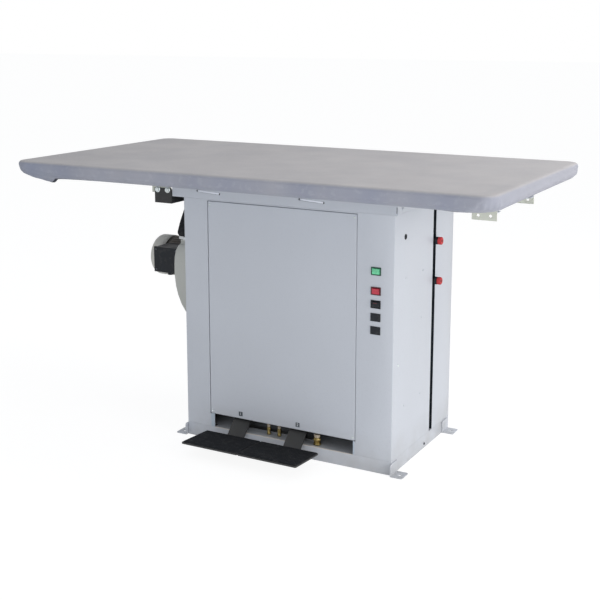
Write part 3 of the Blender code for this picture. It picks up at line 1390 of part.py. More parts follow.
def build_impeller():
    """The impeller: back disc and hub, backward-curved blades, and a ring round the eye."""
    x0 = SCROLL_LEFT + SCROLL_WALL + IMPELLER_BACK_GAP
    x1 = x0 + IMPELLER_WIDTH
    centre = (x0, FAN_Y, FAN_HEIGHT)
    shape = rod(centre, (x0 + IMPELLER_DISC, FAN_Y, FAN_HEIGHT), IMPELLER_RADIUS, 27)
    impeller = mesh_object("impeller", shape, ZINC_STEEL, centre)
    hub_end = (x0 + IMPELLER_WIDTH / 2, FAN_Y, FAN_HEIGHT)
    join(impeller, rod(centre, hub_end, IMPELLER_HUB_RADIUS, 20))
    blades = bmesh.new()
    for blade in range(IMPELLER_BLADES):
        add_blade(blades, math.tau * blade / IMPELLER_BLADES, x0 + IMPELLER_DISC / 2, x1)
    join(impeller, blades)
    ring_start = (x1 - IMPELLER_DISC, FAN_Y, FAN_HEIGHT)
    ring = rod(ring_start, (x1, FAN_Y, FAN_HEIGHT), IMPELLER_RADIUS, 27)
    join(impeller, ring)
    eye_start = (x1 - IMPELLER_DISC - SEAT, FAN_Y, FAN_HEIGHT)
    eye_end = (x1 + OVERRUN, FAN_Y, FAN_HEIGHT)
    cut(impeller, rod(eye_start, eye_end, IMPELLER_EYE, 27))
    start = (x0 - OVERRUN, FAN_Y, FAN_HEIGHT)
    cut(impeller, rod(start, eye_end, MOTOR_SHAFT_RADIUS + SEAT, 16))


def add_blade(shape, start_angle, x_low, x_high):
    """Adds one blade, an arc swept back between the eye and the rim."""
    inner, outer = IMPELLER_EYE + BLADE_THICKNESS, IMPELLER_RADIUS - BLADE_THICKNESS
    front, back = [], []
    for i in range(BLADE_STEPS + 1):
        share = i / BLADE_STEPS
        radius = inner + (outer - inner) * share
        angle = start_angle - BLADE_SWEEP * share * (2 - share) / 2
        half = BLADE_THICKNESS / (2 * radius)
        for side, turn in ((front, -half), (back, half)):
            y = FAN_Y + radius * math.cos(angle + turn)
            side.append((y, FAN_HEIGHT + radius * math.sin(angle + turn)))
    outline = front + list(reversed(back))
    loops = [[shape.verts.new(p) for p in sideways(outline, x)] for x in (x_low, x_high)]
    for i in range(len(outline)):
        shape.faces.new((loops[0][i - 1], loops[0][i], loops[1][i], loops[1][i - 1]))
    shape.faces.new(list(reversed(loops[0])))
    shape.faces.new(loops[1])


def build_motor():
    """The finned motor body with its flange and shields, bored for the shaft."""
    fin_start = MOTOR_RIGHT - MOTOR_FLANGE
    outline = []
    for fin in range(MOTOR_FINS):
        for i, share in enumerate(FIN_SHARES):
            angle = math.tau * (fin + share) / MOTOR_FINS
            radius = MOTOR_RADIUS - (FIN_DEPTH if i < 2 else 0.0)
            outline.append((FAN_Y + radius * math.cos(angle), FAN_HEIGHT + radius * math.sin(angle)))
    shape = loft(
        [sideways(outline, MOTOR_LEFT), sideways(outline, fin_start + SHEET)],
        cap_first=True,
        cap_last=True,
    )
    motor = mesh_object("motor_body", shape, MOTOR_GREY)
    flange_start = (fin_start, FAN_Y, FAN_HEIGHT)
    join(motor, rod(flange_start, (MOTOR_RIGHT, FAN_Y, FAN_HEIGHT), MOTOR_FLANGE_RADIUS, 32))
    shield_end = (MOTOR_LEFT - MOTOR_NECK_LENGTH, FAN_Y, FAN_HEIGHT)
    neck_start = (MOTOR_LEFT - MOTOR_NECK_LENGTH - SHEET, FAN_Y, FAN_HEIGHT)
    neck_end = (MOTOR_LEFT + SHEET, FAN_Y, FAN_HEIGHT)
    join(motor, rod(neck_start, neck_end, MOTOR_NECK_RADIUS, 32))
    shield_start = (MOTOR_LEFT - MOTOR_NECK_LENGTH - MOTOR_SHIELD_LENGTH, FAN_Y, FAN_HEIGHT)
    join(motor, rod(shield_start, shield_end, MOTOR_SHIELD_RADIUS, 36))
    bore_start = (shield_start[0] - OVERRUN, FAN_Y, FAN_HEIGHT)
    bore_end = (MOTOR_RIGHT + OVERRUN, FAN_Y, FAN_HEIGHT)
    cut(motor, rod(bore_start, bore_end, MOTOR_SHAFT_RADIUS + MOTOR_BORE_GAP, 16))
    return shield_start[0]


def build_cowl(shield_x):
    """The fan cowl over the motor's free end, a turned shell with radial slots."""
    open_x = shield_x + MOTOR_SHIELD_LENGTH - SEAT
    end_x = open_x - COWL_LENGTH
    wall, radius, rounding = COWL_WALL, COWL_RADIUS, COWL_ROUND
    arc = [math.radians(90.0) * i / 3 for i in range(4)]
    outer = [
        (radius - rounding * (1 - math.sin(a)), end_x + rounding * (1 - math.cos(a))) for a in arc
    ]
    inner = [
        (radius - wall - (rounding - wall) * (1 - math.sin(a)),
         end_x + wall + (rounding - wall) * (1 - math.cos(a)))
        for a in arc
    ]
    profile = [(0.0, end_x + wall)] + inner + [(radius - wall, open_x), (radius, open_x)]
    profile += list(reversed(outer)) + [(0.0, end_x)]
    centre = (0.0, FAN_Y, FAN_HEIGHT)
    cowl = turned("motor_cowl", profile, centre, (1, 0, 0), 28, MOTOR_GREY)
    slots = bmesh.new()
    for i in range(COWL_SLOTS):
        slot = bmesh.new()
        half = COWL_SLOT_WIDTH / 2
        low = (end_x - OVERRUN, FAN_Y - half, FAN_HEIGHT + COWL_SLOT_INNER)
        high = (end_x + OVERRUN, FAN_Y + half, FAN_HEIGHT + COWL_SLOT_OUTER)
        add_box(slot, low, high)
        turn = Matrix.Rotation(math.tau * i / COWL_SLOTS, 3, "X")
        bmesh.ops.rotate(slot, verts=slot.verts, cent=(0.0, FAN_Y, FAN_HEIGHT), matrix=turn)
        mesh = bpy.data.meshes.new("slot")
        slot.to_mesh(mesh)
        slot.free()
        slots.from_mesh(mesh)
        bpy.data.meshes.remove(mesh)
    cut(cowl, slots)
    return end_x


def build_motor_shaft(shield_x):
    """The motor shaft from the cooling fan to the impeller's hub."""
    fan_x = shield_x - OVERRUN
    end_x = SCROLL_LEFT + SCROLL_WALL + IMPELLER_BACK_GAP + IMPELLER_WIDTH * 2 / 3
    profile = [
        (0.0, end_x),
        (MOTOR_SHAFT_RADIUS, end_x),
        (MOTOR_SHAFT_RADIUS, fan_x),
        (COOLING_FAN_RADIUS, fan_x),
        (COOLING_FAN_RADIUS, fan_x - COOLING_FAN_LENGTH),
        (0.0, fan_x - COOLING_FAN_LENGTH),
    ]
    centre = (0.0, FAN_Y, FAN_HEIGHT)
    turned("motor_shaft", profile, centre, (1, 0, 0), 20, ZINC_STEEL)


def build_terminal_box():
    """The terminal box on the front of the motor, with its lid line."""
    x0 = MOTOR_LEFT + TERMINAL_FROM_BODY
    x1 = x0 + TERMINAL_WIDTH
    bottom = FAN_HEIGHT + TERMINAL_RISE - TERMINAL_HEIGHT / 2
    top = bottom + TERMINAL_HEIGHT
    front = FAN_Y - MOTOR_RADIUS - TERMINAL_DEPTH
    low = (x0, front + TERMINAL_LID, bottom)
    terminal = block("terminal_box", low, (x1, FAN_Y, top), BLACK_PLASTIC)
    bevel(terminal, TERMINAL_EDGE)
    grow = SHEET / 2
    low = (x0 - grow, front, bottom - grow)
    join(terminal, box(low, (x1 + grow, front + TERMINAL_LID + grow, top + grow)))
    start = (x0 - OVERRUN, FAN_Y, FAN_HEIGHT)
    end = (x1 + OVERRUN, FAN_Y, FAN_HEIGHT)
    cut(terminal, rod(start, end, MOTOR_RADIUS + SEAT, MOTOR_FINS * 2))
    behind = FAN_Y - MOTOR_RADIUS * 2 / 3
    low = (x0 - OVERRUN, behind, bottom - OVERRUN)
    cut(terminal, box(low, (x1 + OVERRUN, FAN_Y + OVERRUN, top + OVERRUN)))


def boot_ring(share, grow, z):
    """The boot's outline at a height, between the scroll's neck and the round spigot."""
    neck = (
        SCROLL_LEFT - SEAT,
        SCROLL_RIGHT + SEAT,
        FRONT_Y + NECK_FRONT - SEAT,
        FRONT_Y + NECK_FRONT + NECK_DEPTH + SEAT,
        SCROLL_EDGE,
    )
    reach = SPIGOT_RADIUS + SEAT * 2
    spigot = (SPIGOT_X - reach, SPIGOT_X + reach, SPIGOT_Y - reach, SPIGOT_Y + reach, reach)
    mixed = [a + (b - a) * share for a, b in zip(neck, spigot)]
    x0, x1, y0, y1, radius = mixed
    ring = rounded_ring(x0 - grow, x1 + grow, y0 - grow, y1 + grow, radius + grow, 5)
    return level(ring, z)


def build_boot():
    """The tapered rubber boot from the scroll's neck up to the spigot, and its clamp."""
    wall = BOOT_WALL
    clamp_top = CLAMP_BOTTOM + CLAMP_WIDTH
    rise = SPIGOT_BOTTOM - NECK_TOP
    rings = [
        boot_ring(0.0, wall, BOOT_BOTTOM),
        boot_ring(0.0, wall, clamp_top + SHEET),
        boot_ring(0.0, wall + BOOT_BULGE, clamp_top + SHEET * 3),
        boot_ring(0.0, wall + BOOT_BULGE, NECK_TOP + SHEET),
        boot_ring(0.5, wall, NECK_TOP + rise / 2),
        boot_ring(1.0, wall, SPIGOT_BOTTOM - SHEET),
        boot_ring(1.0, wall, BOOT_TOP),
    ]
    walled("blower_boot", loft(rings), BLACK_RUBBER, wall)
    rings = [
        boot_ring(0.0, wall + SEAT, CLAMP_BOTTOM),
        boot_ring(0.0, wall + SEAT, clamp_top),
    ]
    clamp = walled("boot_clamp", loft(rings), ZINC_STEEL, CLAMP_SHEET, 1.0)
    y = FRONT_Y + NECK_FRONT - SEAT * 2 - wall
    x = SCROLL_LEFT + SCROLL_WIDTH / 3
    low = (x, y - CLAMP_SHEET - CLAMP_SCREW, CLAMP_BOTTOM)
    join(clamp, box(low, (x + CLAMP_SCREW * 2, y - CLAMP_SHEET / 2, clamp_top)))


# Brass unions


def build_union(name, from_middle, from_front, radius):
    """A brass union standing on the pan: hexagon, body and neck."""
    x, y = PEDAL_MIDDLE + from_middle, FRONT_Y + from_front
    low = PAN_TOP + SEAT
    hex_top = low + UNION_HEIGHT * UNION_HEX_SHARE
    neck = low + UNION_HEIGHT * UNION_NECK_SHARE
    shape = rod((x, y, low), (x, y, hex_top), radius, 6)
    fitting = mesh_object(f"union_{name}", shape, BRASS)
    start = (x, y, hex_top - SEAT)
    join(fitting, rod(start, (x, y, neck), radius * 4 / 5, 14))
    start = (x, y, neck - SEAT)
    join(fitting, rod(start, (x, y, low + UNION_HEIGHT), radius * 3 / 5, 14, radius / 2))


def build_table():
    """Builds every piece."""
    build_base()
    build_feet()
    build_shell()
    build_panel()
    build_rear_housing()
    build_slot_strips()
    for name, height in zip(("upper", "lower"), VALVE_HEIGHTS):
        build_valve(name, height)
    build_switches()
    build_pedal("left", -1)
    build_pedal("right", 1)
    build_pedal_bearing()
    build_push_rod("left", -1)
    build_push_rod("right", 1)
    build_dampers()
    build_suction_duct()
    build_collar()
    build_rails()
    build_socket()
    build_cover()
    build_pad()
    build_perforated_plate()
    build_tray()
    build_hopper()
    build_scroll()
    build_impeller()
    shield_x = build_motor()
    build_cowl(shield_x)
    build_motor_shaft(shield_x)
    build_terminal_box()
    build_boot()
    for row in UNIONS:
        build_union(*row)


build_table()
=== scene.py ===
"""The looks of a vacuum ironing table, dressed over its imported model.

Lengths are in metres. The origin is on the floor under the middle of the table top. X runs along
the table, Y from its front to its back and Z up, and every piece is made in its place.
"""

import json
import math

import bmesh
import bpy
from mathutils import Matrix, Vector, noise


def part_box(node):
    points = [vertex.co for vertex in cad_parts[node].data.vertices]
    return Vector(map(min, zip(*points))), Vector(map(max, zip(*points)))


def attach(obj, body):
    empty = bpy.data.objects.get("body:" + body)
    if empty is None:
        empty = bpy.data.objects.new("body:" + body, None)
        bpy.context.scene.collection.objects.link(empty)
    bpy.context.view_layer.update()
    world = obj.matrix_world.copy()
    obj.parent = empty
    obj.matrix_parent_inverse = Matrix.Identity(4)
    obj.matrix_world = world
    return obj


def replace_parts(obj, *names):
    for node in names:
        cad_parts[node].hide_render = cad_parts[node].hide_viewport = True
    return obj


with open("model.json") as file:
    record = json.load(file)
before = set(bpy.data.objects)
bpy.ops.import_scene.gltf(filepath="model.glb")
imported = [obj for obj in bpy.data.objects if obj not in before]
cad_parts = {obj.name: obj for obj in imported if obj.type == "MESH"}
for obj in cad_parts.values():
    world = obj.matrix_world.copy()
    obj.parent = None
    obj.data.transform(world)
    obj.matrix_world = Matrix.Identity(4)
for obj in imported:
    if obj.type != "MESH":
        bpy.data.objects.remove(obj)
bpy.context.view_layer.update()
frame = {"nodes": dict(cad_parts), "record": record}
NODES = frame["nodes"]
BODIES = frame["record"]["behaviour"]["bodies"]
BODY_OF = {node: body for body, members in BODIES.items() for node in members}
SLOT_OF = {row["node"]: row["material_slot"] for row in frame["record"]["subparts"]}

MERGE = 0.00002
EASE = 0.0005

# Degrees of turn past which an edge is a sharp one
SHARP = 38.0

# Table top
HALF_LENGTH = 0.82
HALF_WIDTH = 0.43
TOP_Z = 0.925
CLOTH = 0.0015
SHOULDER = 0.012
CORNER = 0.044
PLEAT_PITCH = 0.021
PLEAT_DEPTH = 0.0038

# The flat of the top, inside its shoulder
FLAT_X = HALF_LENGTH - SHOULDER
FLAT_Y = HALF_WIDTH - SHOULDER
FLAT_CORNER = CORNER - SHOULDER

# Ways that things face
FRONT, BACK = (0, -1, 0), (0, 1, 0)
LEFT, RIGHT = (-1, 0, 0), (1, 0, 0)
UP, DOWN = (0, 0, 1), (0, 0, -1)

# How far the dress stands past the CAD: pedal plates, the boot's outer wall and the scroll's rim
TREAD_OUT, TREAD_UP = 0.022, 0.0095
BOOT_BELLY = 0.0095
SCROLL_RIM = 0.006

# Radius of a common screw's head, and of a small bolt's washer
SCREW = 0.0036

# Blower axis, and its motor by distance along X
MOTOR_LOW, MOTOR_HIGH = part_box("motor_body")
COWL_LOW, COWL_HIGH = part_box("motor_cowl")
FAN_Y = (COWL_LOW.y + COWL_HIGH.y) / 2
FAN_Z = (COWL_LOW.z + COWL_HIGH.z) / 2
FLANGE = 0.010
SHIELD = 0.022


def tint(red, green, blue):
    """A colour, 0 to 255 a channel, as a shader takes it."""
    return tuple(((c / 255 + 0.055) / 1.055) ** 2.4 for c in (red, green, blue)) + (1.0,)


def shade(colour, share):
    """The same as tint, but lighter or darker by a share."""
    return tuple(min(1.0, c * share) for c in tint(*colour)[:3]) + (1.0,)


def feed(node, feeds):
    """Feeds a node's inputs with sockets or values."""
    for name, source in feeds.items():
        if isinstance(source, bpy.types.NodeSocket):
            node.id_data.links.new(source, node.inputs[name])
        else:
            node.inputs[name].default_value = source


def add_node(tree, kind, feeds=None, **settings):
    """Adds a shader node, sets it up and feeds it."""
    node = tree.nodes.new("ShaderNode" + kind)
    for key, value in settings.items():
        setattr(node, key, value)
    feed(node, feeds or {})
    return node


class Finish:
    """A material of nodes on Object coordinates, built up a layer at a time."""

    def __init__(self, name, roughness, metallic=0.0, sockets=None):
        self.material = bpy.data.materials.new(name)
        self.material.use_nodes = True
        self.tree = self.material.node_tree
        self.shader = self.tree.nodes["Principled BSDF"]
        feed(self.shader, {"Roughness": roughness, "Metallic": metallic, **(sockets or {})})
        self.place = self.add("TexCoord", "Object")
        self.normal = None

    def add(self, kind, output, feeds=None, **settings):
        """Adds a node to the finish, and gives one of its outputs."""
        return add_node(self.tree, kind, feeds, **settings).outputs[output]

    def stretched(self, x, y, z):
        """Object coordinates drawn out or squeezed along each axis."""
        return self.add("Mapping", "Vector", {"Vector": self.place, "Scale": (x, y, z)})

    def cloud(self, scale, detail=3.0, place=None):
        """Soft noise, spread over the whole range from 0 to 1."""
        feeds = {"Vector": place or self.place, "Scale": scale, "Detail": detail}
        return self.between(self.add("TexNoise", "Fac", feeds), 0.32, 0.68)

    def cells(self, scale):
        """Cells of random brightness, as on a spangled or grained skin."""
        return self.add("TexVoronoi", "Color", {"Vector": self.place, "Scale": scale})

    def waves(self, direction, scale):
        """Even ridges along one axis."""
        feeds = {"Vector": self.place, "Scale": scale}
        return self.add("TexWave", "Fac", feeds, bands_direction=direction)

    def height(self):
        """Height above the floor."""
        return self.add("SeparateXYZ", "Z", {"Vector": self.place})

    def between(self, source, start, end, low=0.0, high=1.0):
        """Spreads start to end over low to high."""
        feeds = {"Value": source, "From Min": start, "From Max": end, "To Min": low, "To Max": high}
        return self.add("MapRange", "Result", feeds)

    def maths(self, operation, first, second):
        """Joins two numbers by one operation."""
        return self.add("Math", 0, {0: first, 1: second}, operation=operation)

    def mixed(self, factor, first, second):
        """Passes from the first colour to the second."""
        feeds = {0: factor, 6: first, 7: second}
        return self.add("Mix", 2, feeds, data_type="RGBA")

    def bump(self, height, distance, strength=1.0):
        """Raises the surface by a height pattern, over what was raised before."""
        feeds = {"Height": height, "Distance": distance, "Strength": strength}
        if self.normal is not None:
            feeds["Normal"] = self.normal
        self.normal = self.add("Bump", "Normal", feeds)

    def done(self, colour, pattern=None, low=0.0, high=1.0):
        """Feeds the shader, its roughness from a pattern if there is one; gives the material."""
        feeds = {"Base Color": colour, "Normal": self.normal}
        if pattern is not None:
            feeds["Roughness"] = self.between(pattern, 0.0, 1.0, low, high)
        feed(self.shader, feeds)
        return self.material


def powder_coat(name, colour, roughness=0.42, peel=0.00005, dust=0.5):
    """Baked powder paint: orange peel, an uneven tone, and dust that settles near the floor."""
    coat = Finish(name, roughness)
    drift = coat.cloud(2.1, 2.0)
    speck = coat.cloud(160.0, 2.0)
    tone = coat.mixed(drift, shade(colour, 0.965), shade(colour, 1.025))
    tone = coat.mixed(coat.between(speck, 0.72, 1.0, 0.0, 0.35), tone, shade(colour, 0.93))
    low = coat.between(coat.height(), 0.0, 0.13, dust, 0.0)
    film = coat.maths("MULTIPLY", low, coat.cloud(9.0, 5.0))
    tone = coat.mixed(film, tone, tint(150, 146, 140))
    coat.bump(coat.cloud(520.0, 2.0), peel)
    return coat.done(tone, drift, roughness - 0.04, roughness + 0.06)


def woven_cover(name):
    """Grey polyester cover cloth: fine plain weave; painted light on top, painted shade on the
    band.
    """
    cloth = Finish(name, 0.82, sockets={"Sheen Weight": 0.12, "Sheen Roughness": 0.4})
    height = cloth.height()
    # Painted light and shade: the top is painted a lighter warm grey, the band below the shoulder a
    # darker bluish grey
    lit_top_share = cloth.between(height, 0.9185, 0.9238)
    tone = cloth.mixed(lit_top_share, tint(149, 154, 172), tint(186, 182, 182))
    swathes = cloth.cloud(1.0, 2.0, cloth.stretched(5.5, 0.55, 1.0))
    tone = cloth.mixed(cloth.between(swathes, 0.0, 1.0, 0.0, 0.5), tone, tint(189, 186, 187))
    cloudy = cloth.cloud(7.0, 4.0)
    tone = cloth.mixed(cloth.between(cloudy, 0.0, 1.0, 0.0, 0.22), tone, tint(146, 147, 156))
    threads = cloth.waves("X", 210.0)
    for direction in ("Y", "Z"):
        threads = cloth.maths("ADD", threads, cloth.waves(direction, 210.0))
    slubs = cloth.cloud(60.0, 2.0, cloth.stretched(1.0, 9.0, 1.0))
    tone = cloth.mixed(cloth.between(threads, 0.6, 2.0, 0.2, 0.0), tone, tint(128, 130, 140))
    tone = cloth.mixed(cloth.between(slubs, 0.6, 1.0, 0.0, 0.12), tone, tint(205, 205, 210))
    cloth.bump(cloth.cloud(11.0, 3.0), 0.0012, 0.5)
    cloth.bump(threads, 0.00012, 0.6)
    return cloth.done(tone, cloudy, 0.76, 0.9)


def open_foam(name):
    """Cream foam with a felt skin."""
    foam = Finish(name, 0.95, sockets={"Sheen Weight": 0.1})
    pores = foam.cells(420.0)
    tone = foam.mixed(foam.cloud(18.0), tint(222, 214, 190), tint(206, 196, 170))
    tone = foam.mixed(foam.between(pores, 0.0, 1.0, 0.25, 0.0), tone, tint(168, 158, 132))
    foam.bump(pores, 0.0004, 0.7)
    return foam.done(tone)


def zinc_sheet(name, colour, roughness=0.38):
    """Zinc-plated steel: spangle, rolling lines and a dull bloom."""
    zinc = Finish(name, roughness, 0.85)
    spangle = zinc.cells(150.0)
    bloom = zinc.cloud(24.0, 5.0)
    tone = zinc.mixed(zinc.between(spangle, 0.0, 1.0, 0.0, 0.5), shade(colour, 0.9), tint(*colour))
    tone = zinc.mixed(zinc.between(bloom, 0.5, 1.0, 0.0, 0.35), tone, tint(196, 197, 190))
    rolled = zinc.cloud(90.0, 2.0, zinc.stretched(1.0, 1.0, 14.0))
    zinc.bump(rolled, 0.00003, 0.7)
    return zinc.done(tone, bloom, roughness - 0.1, roughness + 0.14)


def moulded(name, colour, roughness, sockets=None, grain=700.0, depth=0.00006, dusty=0.1):
    """Moulded plastic or rubber: fine grain, a slightly uneven gloss and a little dust."""
    skin = Finish(name, roughness, sockets=sockets)
    patches = skin.cloud(30.0, 4.0)
    tone = skin.mixed(patches, shade(colour, 0.88), shade(colour, 1.12))
    dust = skin.between(skin.cloud(75.0, 5.0), 0.55, 1.0, 0.0, dusty)
    tone = skin.mixed(dust, tone, tint(120, 118, 114))
    skin.bump(skin.cells(grain), depth, 0.5)
    return skin.done(tone, patches, roughness - 0.07, roughness + 0.09)


def lit_lens(name, colour, glow):
    """A translucent lens with a lamp behind it, its colour and glow uneven in soft patches."""
    lens = Finish(name, 0.22, sockets={"Coat Weight": 0.4, "Emission Strength": glow})
    core = lens.cloud(110.0, 1.0)
    tone = lens.mixed(core, shade(colour, 0.85), shade(colour, 1.15))
    feed(lens.shader, {"Emission Color": tone})
    lens.bump(lens.cells(900.0), 0.00005, 0.4)
    return lens.done(tone, core, 0.18, 0.3)


def machined(name, colour, roughness, tarnish, metallic=1.0, lines=160.0):
    """Turned or cast metal: tool lines, a mottled skin and darker spots."""
    metal = Finish(name, roughness, metallic)
    mottle = metal.cloud(55.0, 5.0)
    tone = metal.mixed(mottle, shade(colour, 0.86), shade(colour, 1.06))
    spots = metal.between(metal.cloud(19.0, 4.0), 0.45, 1.0, 0.0, 0.6)
    tone = metal.mixed(spots, tone, tint(*tarnish))
    metal.bump(metal.cloud(lines, 3.0, metal.stretched(7.0, 1.0, 1.0)), 0.00005, 0.5)
    return metal.done(tone, mottle, roughness - 0.08, roughness + 0.12)


DULL = {"Specular IOR Level": 0.22}
FINISH_ROWS = [
    (powder_coat, "cabinet_grey", (197, 201, 209)),
    (powder_coat, "cream_paint", (208, 210, 198), 0.38),
    (woven_cover, "cover_cloth"),
    (open_foam, "pad_foam"),
    (zinc_sheet, "zinc_steel", (186, 189, 194)),
    (powder_coat, "black_paint", (38, 39, 40), 0.5, 0.00004, 0.05),
    (moulded, "black_rubber", (31, 33, 37), 0.75, DULL, 480.0, 0.0001),
    (moulded, "black_plastic", (34, 37, 42), 0.5, DULL),
    (lit_lens, "green_lens", (92, 184, 138), 0.22),
    (lit_lens, "red_lens", (178, 32, 56), 0.1),
    (moulded, "red_plastic", (190, 46, 50), 0.55, None, 900.0, 0.00004, 0.04),
    (machined, "brass", (160, 142, 92), 0.36, (98, 86, 52)),
    (machined, "aluminium", (190, 192, 195), 0.4, (140, 142, 146)),
    (powder_coat, "fan_grey", (186, 187, 182), 0.46, 0.00008, 0.2),
    (machined, "motor_grey", (112, 107, 102), 0.5, (84, 80, 77), 0.25, 320.0),
    # Finishes that no slot of the CAD names
    # Dark primer inside the shell, dark enough to paint in the shade inside the cabinet as well
    (powder_coat, "dark_primer", (58, 54, 54), 0.7, 0.00008, 0.3),
    # Dark green and dark red: painted shade on the switch bezels round the lit rockers; dark red
    # also marks the black rocker and the knobs' screws
    (moulded, "dark_green", (20, 70, 52), 0.5),
    (moulded, "dark_red", (74, 20, 28), 0.35),
    # A dark finish for the slot strips, the slot edging and the collar's end gap: painted shade
    (moulded, "dark_strip", (34, 40, 47), 0.6, {"Specular IOR Level": 0.1}),
    # Hem binding, painted darker than the tape as painted shade under the cover's edge
    (moulded, "hem_binding", (70, 72, 82), 0.9, DULL, 260.0, 0.0002),
    (powder_coat, "cowl_paint", (208, 206, 199), 0.5, 0.00005, 0.1),
    (machined, "dark_bronze", (58, 52, 44), 0.5, (36, 34, 32), 0.6),
    (machined, "blackened", (92, 94, 102), 0.5, (70, 72, 78), 0.6),
    (moulded, "plate_dark", (72, 78, 86), 0.4),
    (moulded, "numeral_white", (222, 226, 230), 0.5),
    (moulded, "nylon_tube", (200, 186, 164), 0.35, {"Coat Weight": 0.2}),
    # Near white for the collar's slot lips: painted light where the slots show bright
    (powder_coat, "lip_white", (238, 241, 250), 0.5, 0.00003, 0.05),
    # The opening's jambs and sill: cabinet paint given painted light, bluish on the jambs and a
    # pale highlight on the sill
    (powder_coat, "jamb_blue", (178, 190, 202), 0.5, 0.00004, 0.1),
    (powder_coat, "pale_edge", (214, 208, 200), 0.5, 0.00004, 0.1),
    (zinc_sheet, "bright_zinc", (214, 222, 224), 0.26),
]
FINISHES = {name: make(name, *values) for make, name, *values in FINISH_ROWS}


def held(number):
    """A number, held between 0 and 1."""
    return min(1.0, max(0.0, number))


def as_mesh(name, shape):
    """Writes a bmesh out as a mesh."""
    mesh = bpy.data.meshes.new(name)
    shape.to_mesh(mesh)
    shape.free()
    return mesh


def linked(name, data):
    """A new object in the scene."""
    made = bpy.data.objects.new(name, data)
    bpy.context.scene.collection.objects.link(made)
    return made


def piece(name, shape, slot="cabinet_grey", finish=None, body="table", sharp=SHARP):
    """Makes a bmesh a piece that rides on a body and wears its slot's finish, or a named one."""
    bmesh.ops.remove_doubles(shape, verts=shape.verts, dist=MERGE)
    bmesh.ops.recalc_face_normals(shape, faces=shape.faces)
    mesh = as_mesh(name, shape)
    mesh.shade_smooth()
    mesh.set_sharp_from_angle(angle=math.radians(sharp))
    mesh.materials.append(FINISHES[finish or slot])
    made = linked(name, mesh)
    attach(made, body)
    return made


def round_edges(made, width, segments=2, angle=SHARP):
    """Rounds the sharp edges of a piece by a bevel."""
    bevel = made.modifiers.new("rounded_edges", "BEVEL")
    bevel.limit_method = "ANGLE"
    bevel.angle_limit = math.radians(angle)
    bevel.width = width
    bevel.segments = segments
    bevel.harden_normals = True
    return made


def merged_copy(node):
    """The shape of a CAD node with its triangles joined and its flat faces whole."""
    shape = bmesh.new()
    shape.from_mesh(NODES[node].data)
    bmesh.ops.remove_doubles(shape, verts=shape.verts, dist=MERGE)
    limit = math.radians(0.6)
    bmesh.ops.dissolve_limit(shape, angle_limit=limit, verts=shape.verts, edges=shape.edges)
    return shape


def eased(node, width=EASE, segments=2, finish=None, sharp=SHARP):
    """A CAD node with its edges eased."""
    slot = SLOT_OF[node]
    made = piece(f"{node}_eased", merged_copy(node), slot, finish, BODY_OF[node], sharp)
    round_edges(made, width, segments, sharp)
    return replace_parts(made, node)


def box_shape(low, high):
    """A box between two corners."""
    shape = bmesh.new()
    bmesh.ops.create_cube(shape, size=1.0)
    size = Vector(high) - Vector(low)
    bmesh.ops.scale(shape, vec=size, verts=shape.verts)
    bmesh.ops.translate(shape, vec=(Vector(high) + Vector(low)) / 2, verts=shape.verts)
    return shape


def add_shape(shape, other, place=None):
    """Adds another bmesh, moved to its place, to a shape."""
    if place is not None:
        bmesh.ops.transform(other, matrix=place, verts=other.verts)
    mesh = as_mesh("passing", other)
    shape.from_mesh(mesh)
    bpy.data.meshes.remove(mesh)
    return shape


def placed(shape, place):
    """The shape, moved to its place."""
    return add_shape(bmesh.new(), shape, place)


def bevel_edges(shape, edges, offset, segments=2):
    """Rounds some edges of a shape."""
    settings = {"profile": 0.5, "affect": "EDGES", "material": -1}
    bmesh.ops.bevel(shape, geom=edges, offset=offset, segments=segments, **settings)


def cut_across(shape, place, normal, **settings):
    """Cuts the faces of a shape along a plane."""
    everything = shape.verts[:] + shape.edges[:] + shape.faces[:]
    bmesh.ops.bisect_plane(shape, geom=everything, plane_co=place, plane_no=normal, **settings)


def middle_of(low, high):
    """The point halfway between two corners."""
    return [(a + b) / 2 for a, b in zip(low, high)]


def soft_box(name, low, high, ease, slot="cabinet_grey", finish=None, body="table"):
    """A plain box made a piece, with its edges eased."""
    return round_edges(piece(name, box_shape(low, high), slot, finish, body), ease)


def open_edges(shape):
    """The edges of a shape that have a face on one side only."""
    return [e for e in shape.edges if e.is_boundary]


def extruded(shape, edges):
    """Extrudes edges, and gives the new points, the new rim and the new faces."""
    fresh = bmesh.ops.extrude_edge_only(shape, edges=edges)["geom"]
    kinds = (bmesh.types.BMVert, bmesh.types.BMEdge, bmesh.types.BMFace)
    verts, rim, faces = ([item for item in fresh if isinstance(item, kind)] for kind in kinds)
    return verts, [e for e in rim if e.is_boundary], faces


def facing(centre, direction, scale=1.0):
    """The matrix that stands a shape made on +Z at a centre, along a direction."""
    turn = Vector(direction).to_track_quat("Z", "Y").to_matrix().to_4x4()
    return Matrix.Translation(centre) @ turn @ Matrix.Scale(scale, 4)


def turned(profile, steps):
    """A shape spun round Z from a profile of radius and height."""
    shape = bmesh.new()
    verts = [shape.verts.new((radius, 0.0, height)) for radius, height in profile]
    edges = [shape.edges.new(pair) for pair in zip(verts, verts[1:])]
    settings = {"cent": (0.0, 0.0, 0.0), "axis": UP, "angle": math.tau, "use_merge": True}
    bmesh.ops.spin(shape, geom=verts + edges, steps=steps, **settings)
    bmesh.ops.remove_doubles(shape, verts=shape.verts, dist=MERGE / 2)
    return shape


def prism(radius, low, high, sides, chamfer=0.0):
    """A bar with flat sides along Z, its ends chamfered if a chamfer is given."""
    shape = bmesh.new()
    bmesh.ops.create_cone(
        shape, cap_ends=True, segments=sides, radius1=radius, radius2=radius, depth=high - low
    )
    bmesh.ops.translate(shape, vec=(0.0, 0.0, (low + high) / 2), verts=shape.verts)
    if chamfer:
        rim_shades = [e for e in shape.edges if abs(e.verts[0].co.z - e.verts[1].co.z) < MERGE]
        bevel_edges(shape, rim_shades, chamfer)
    return shape


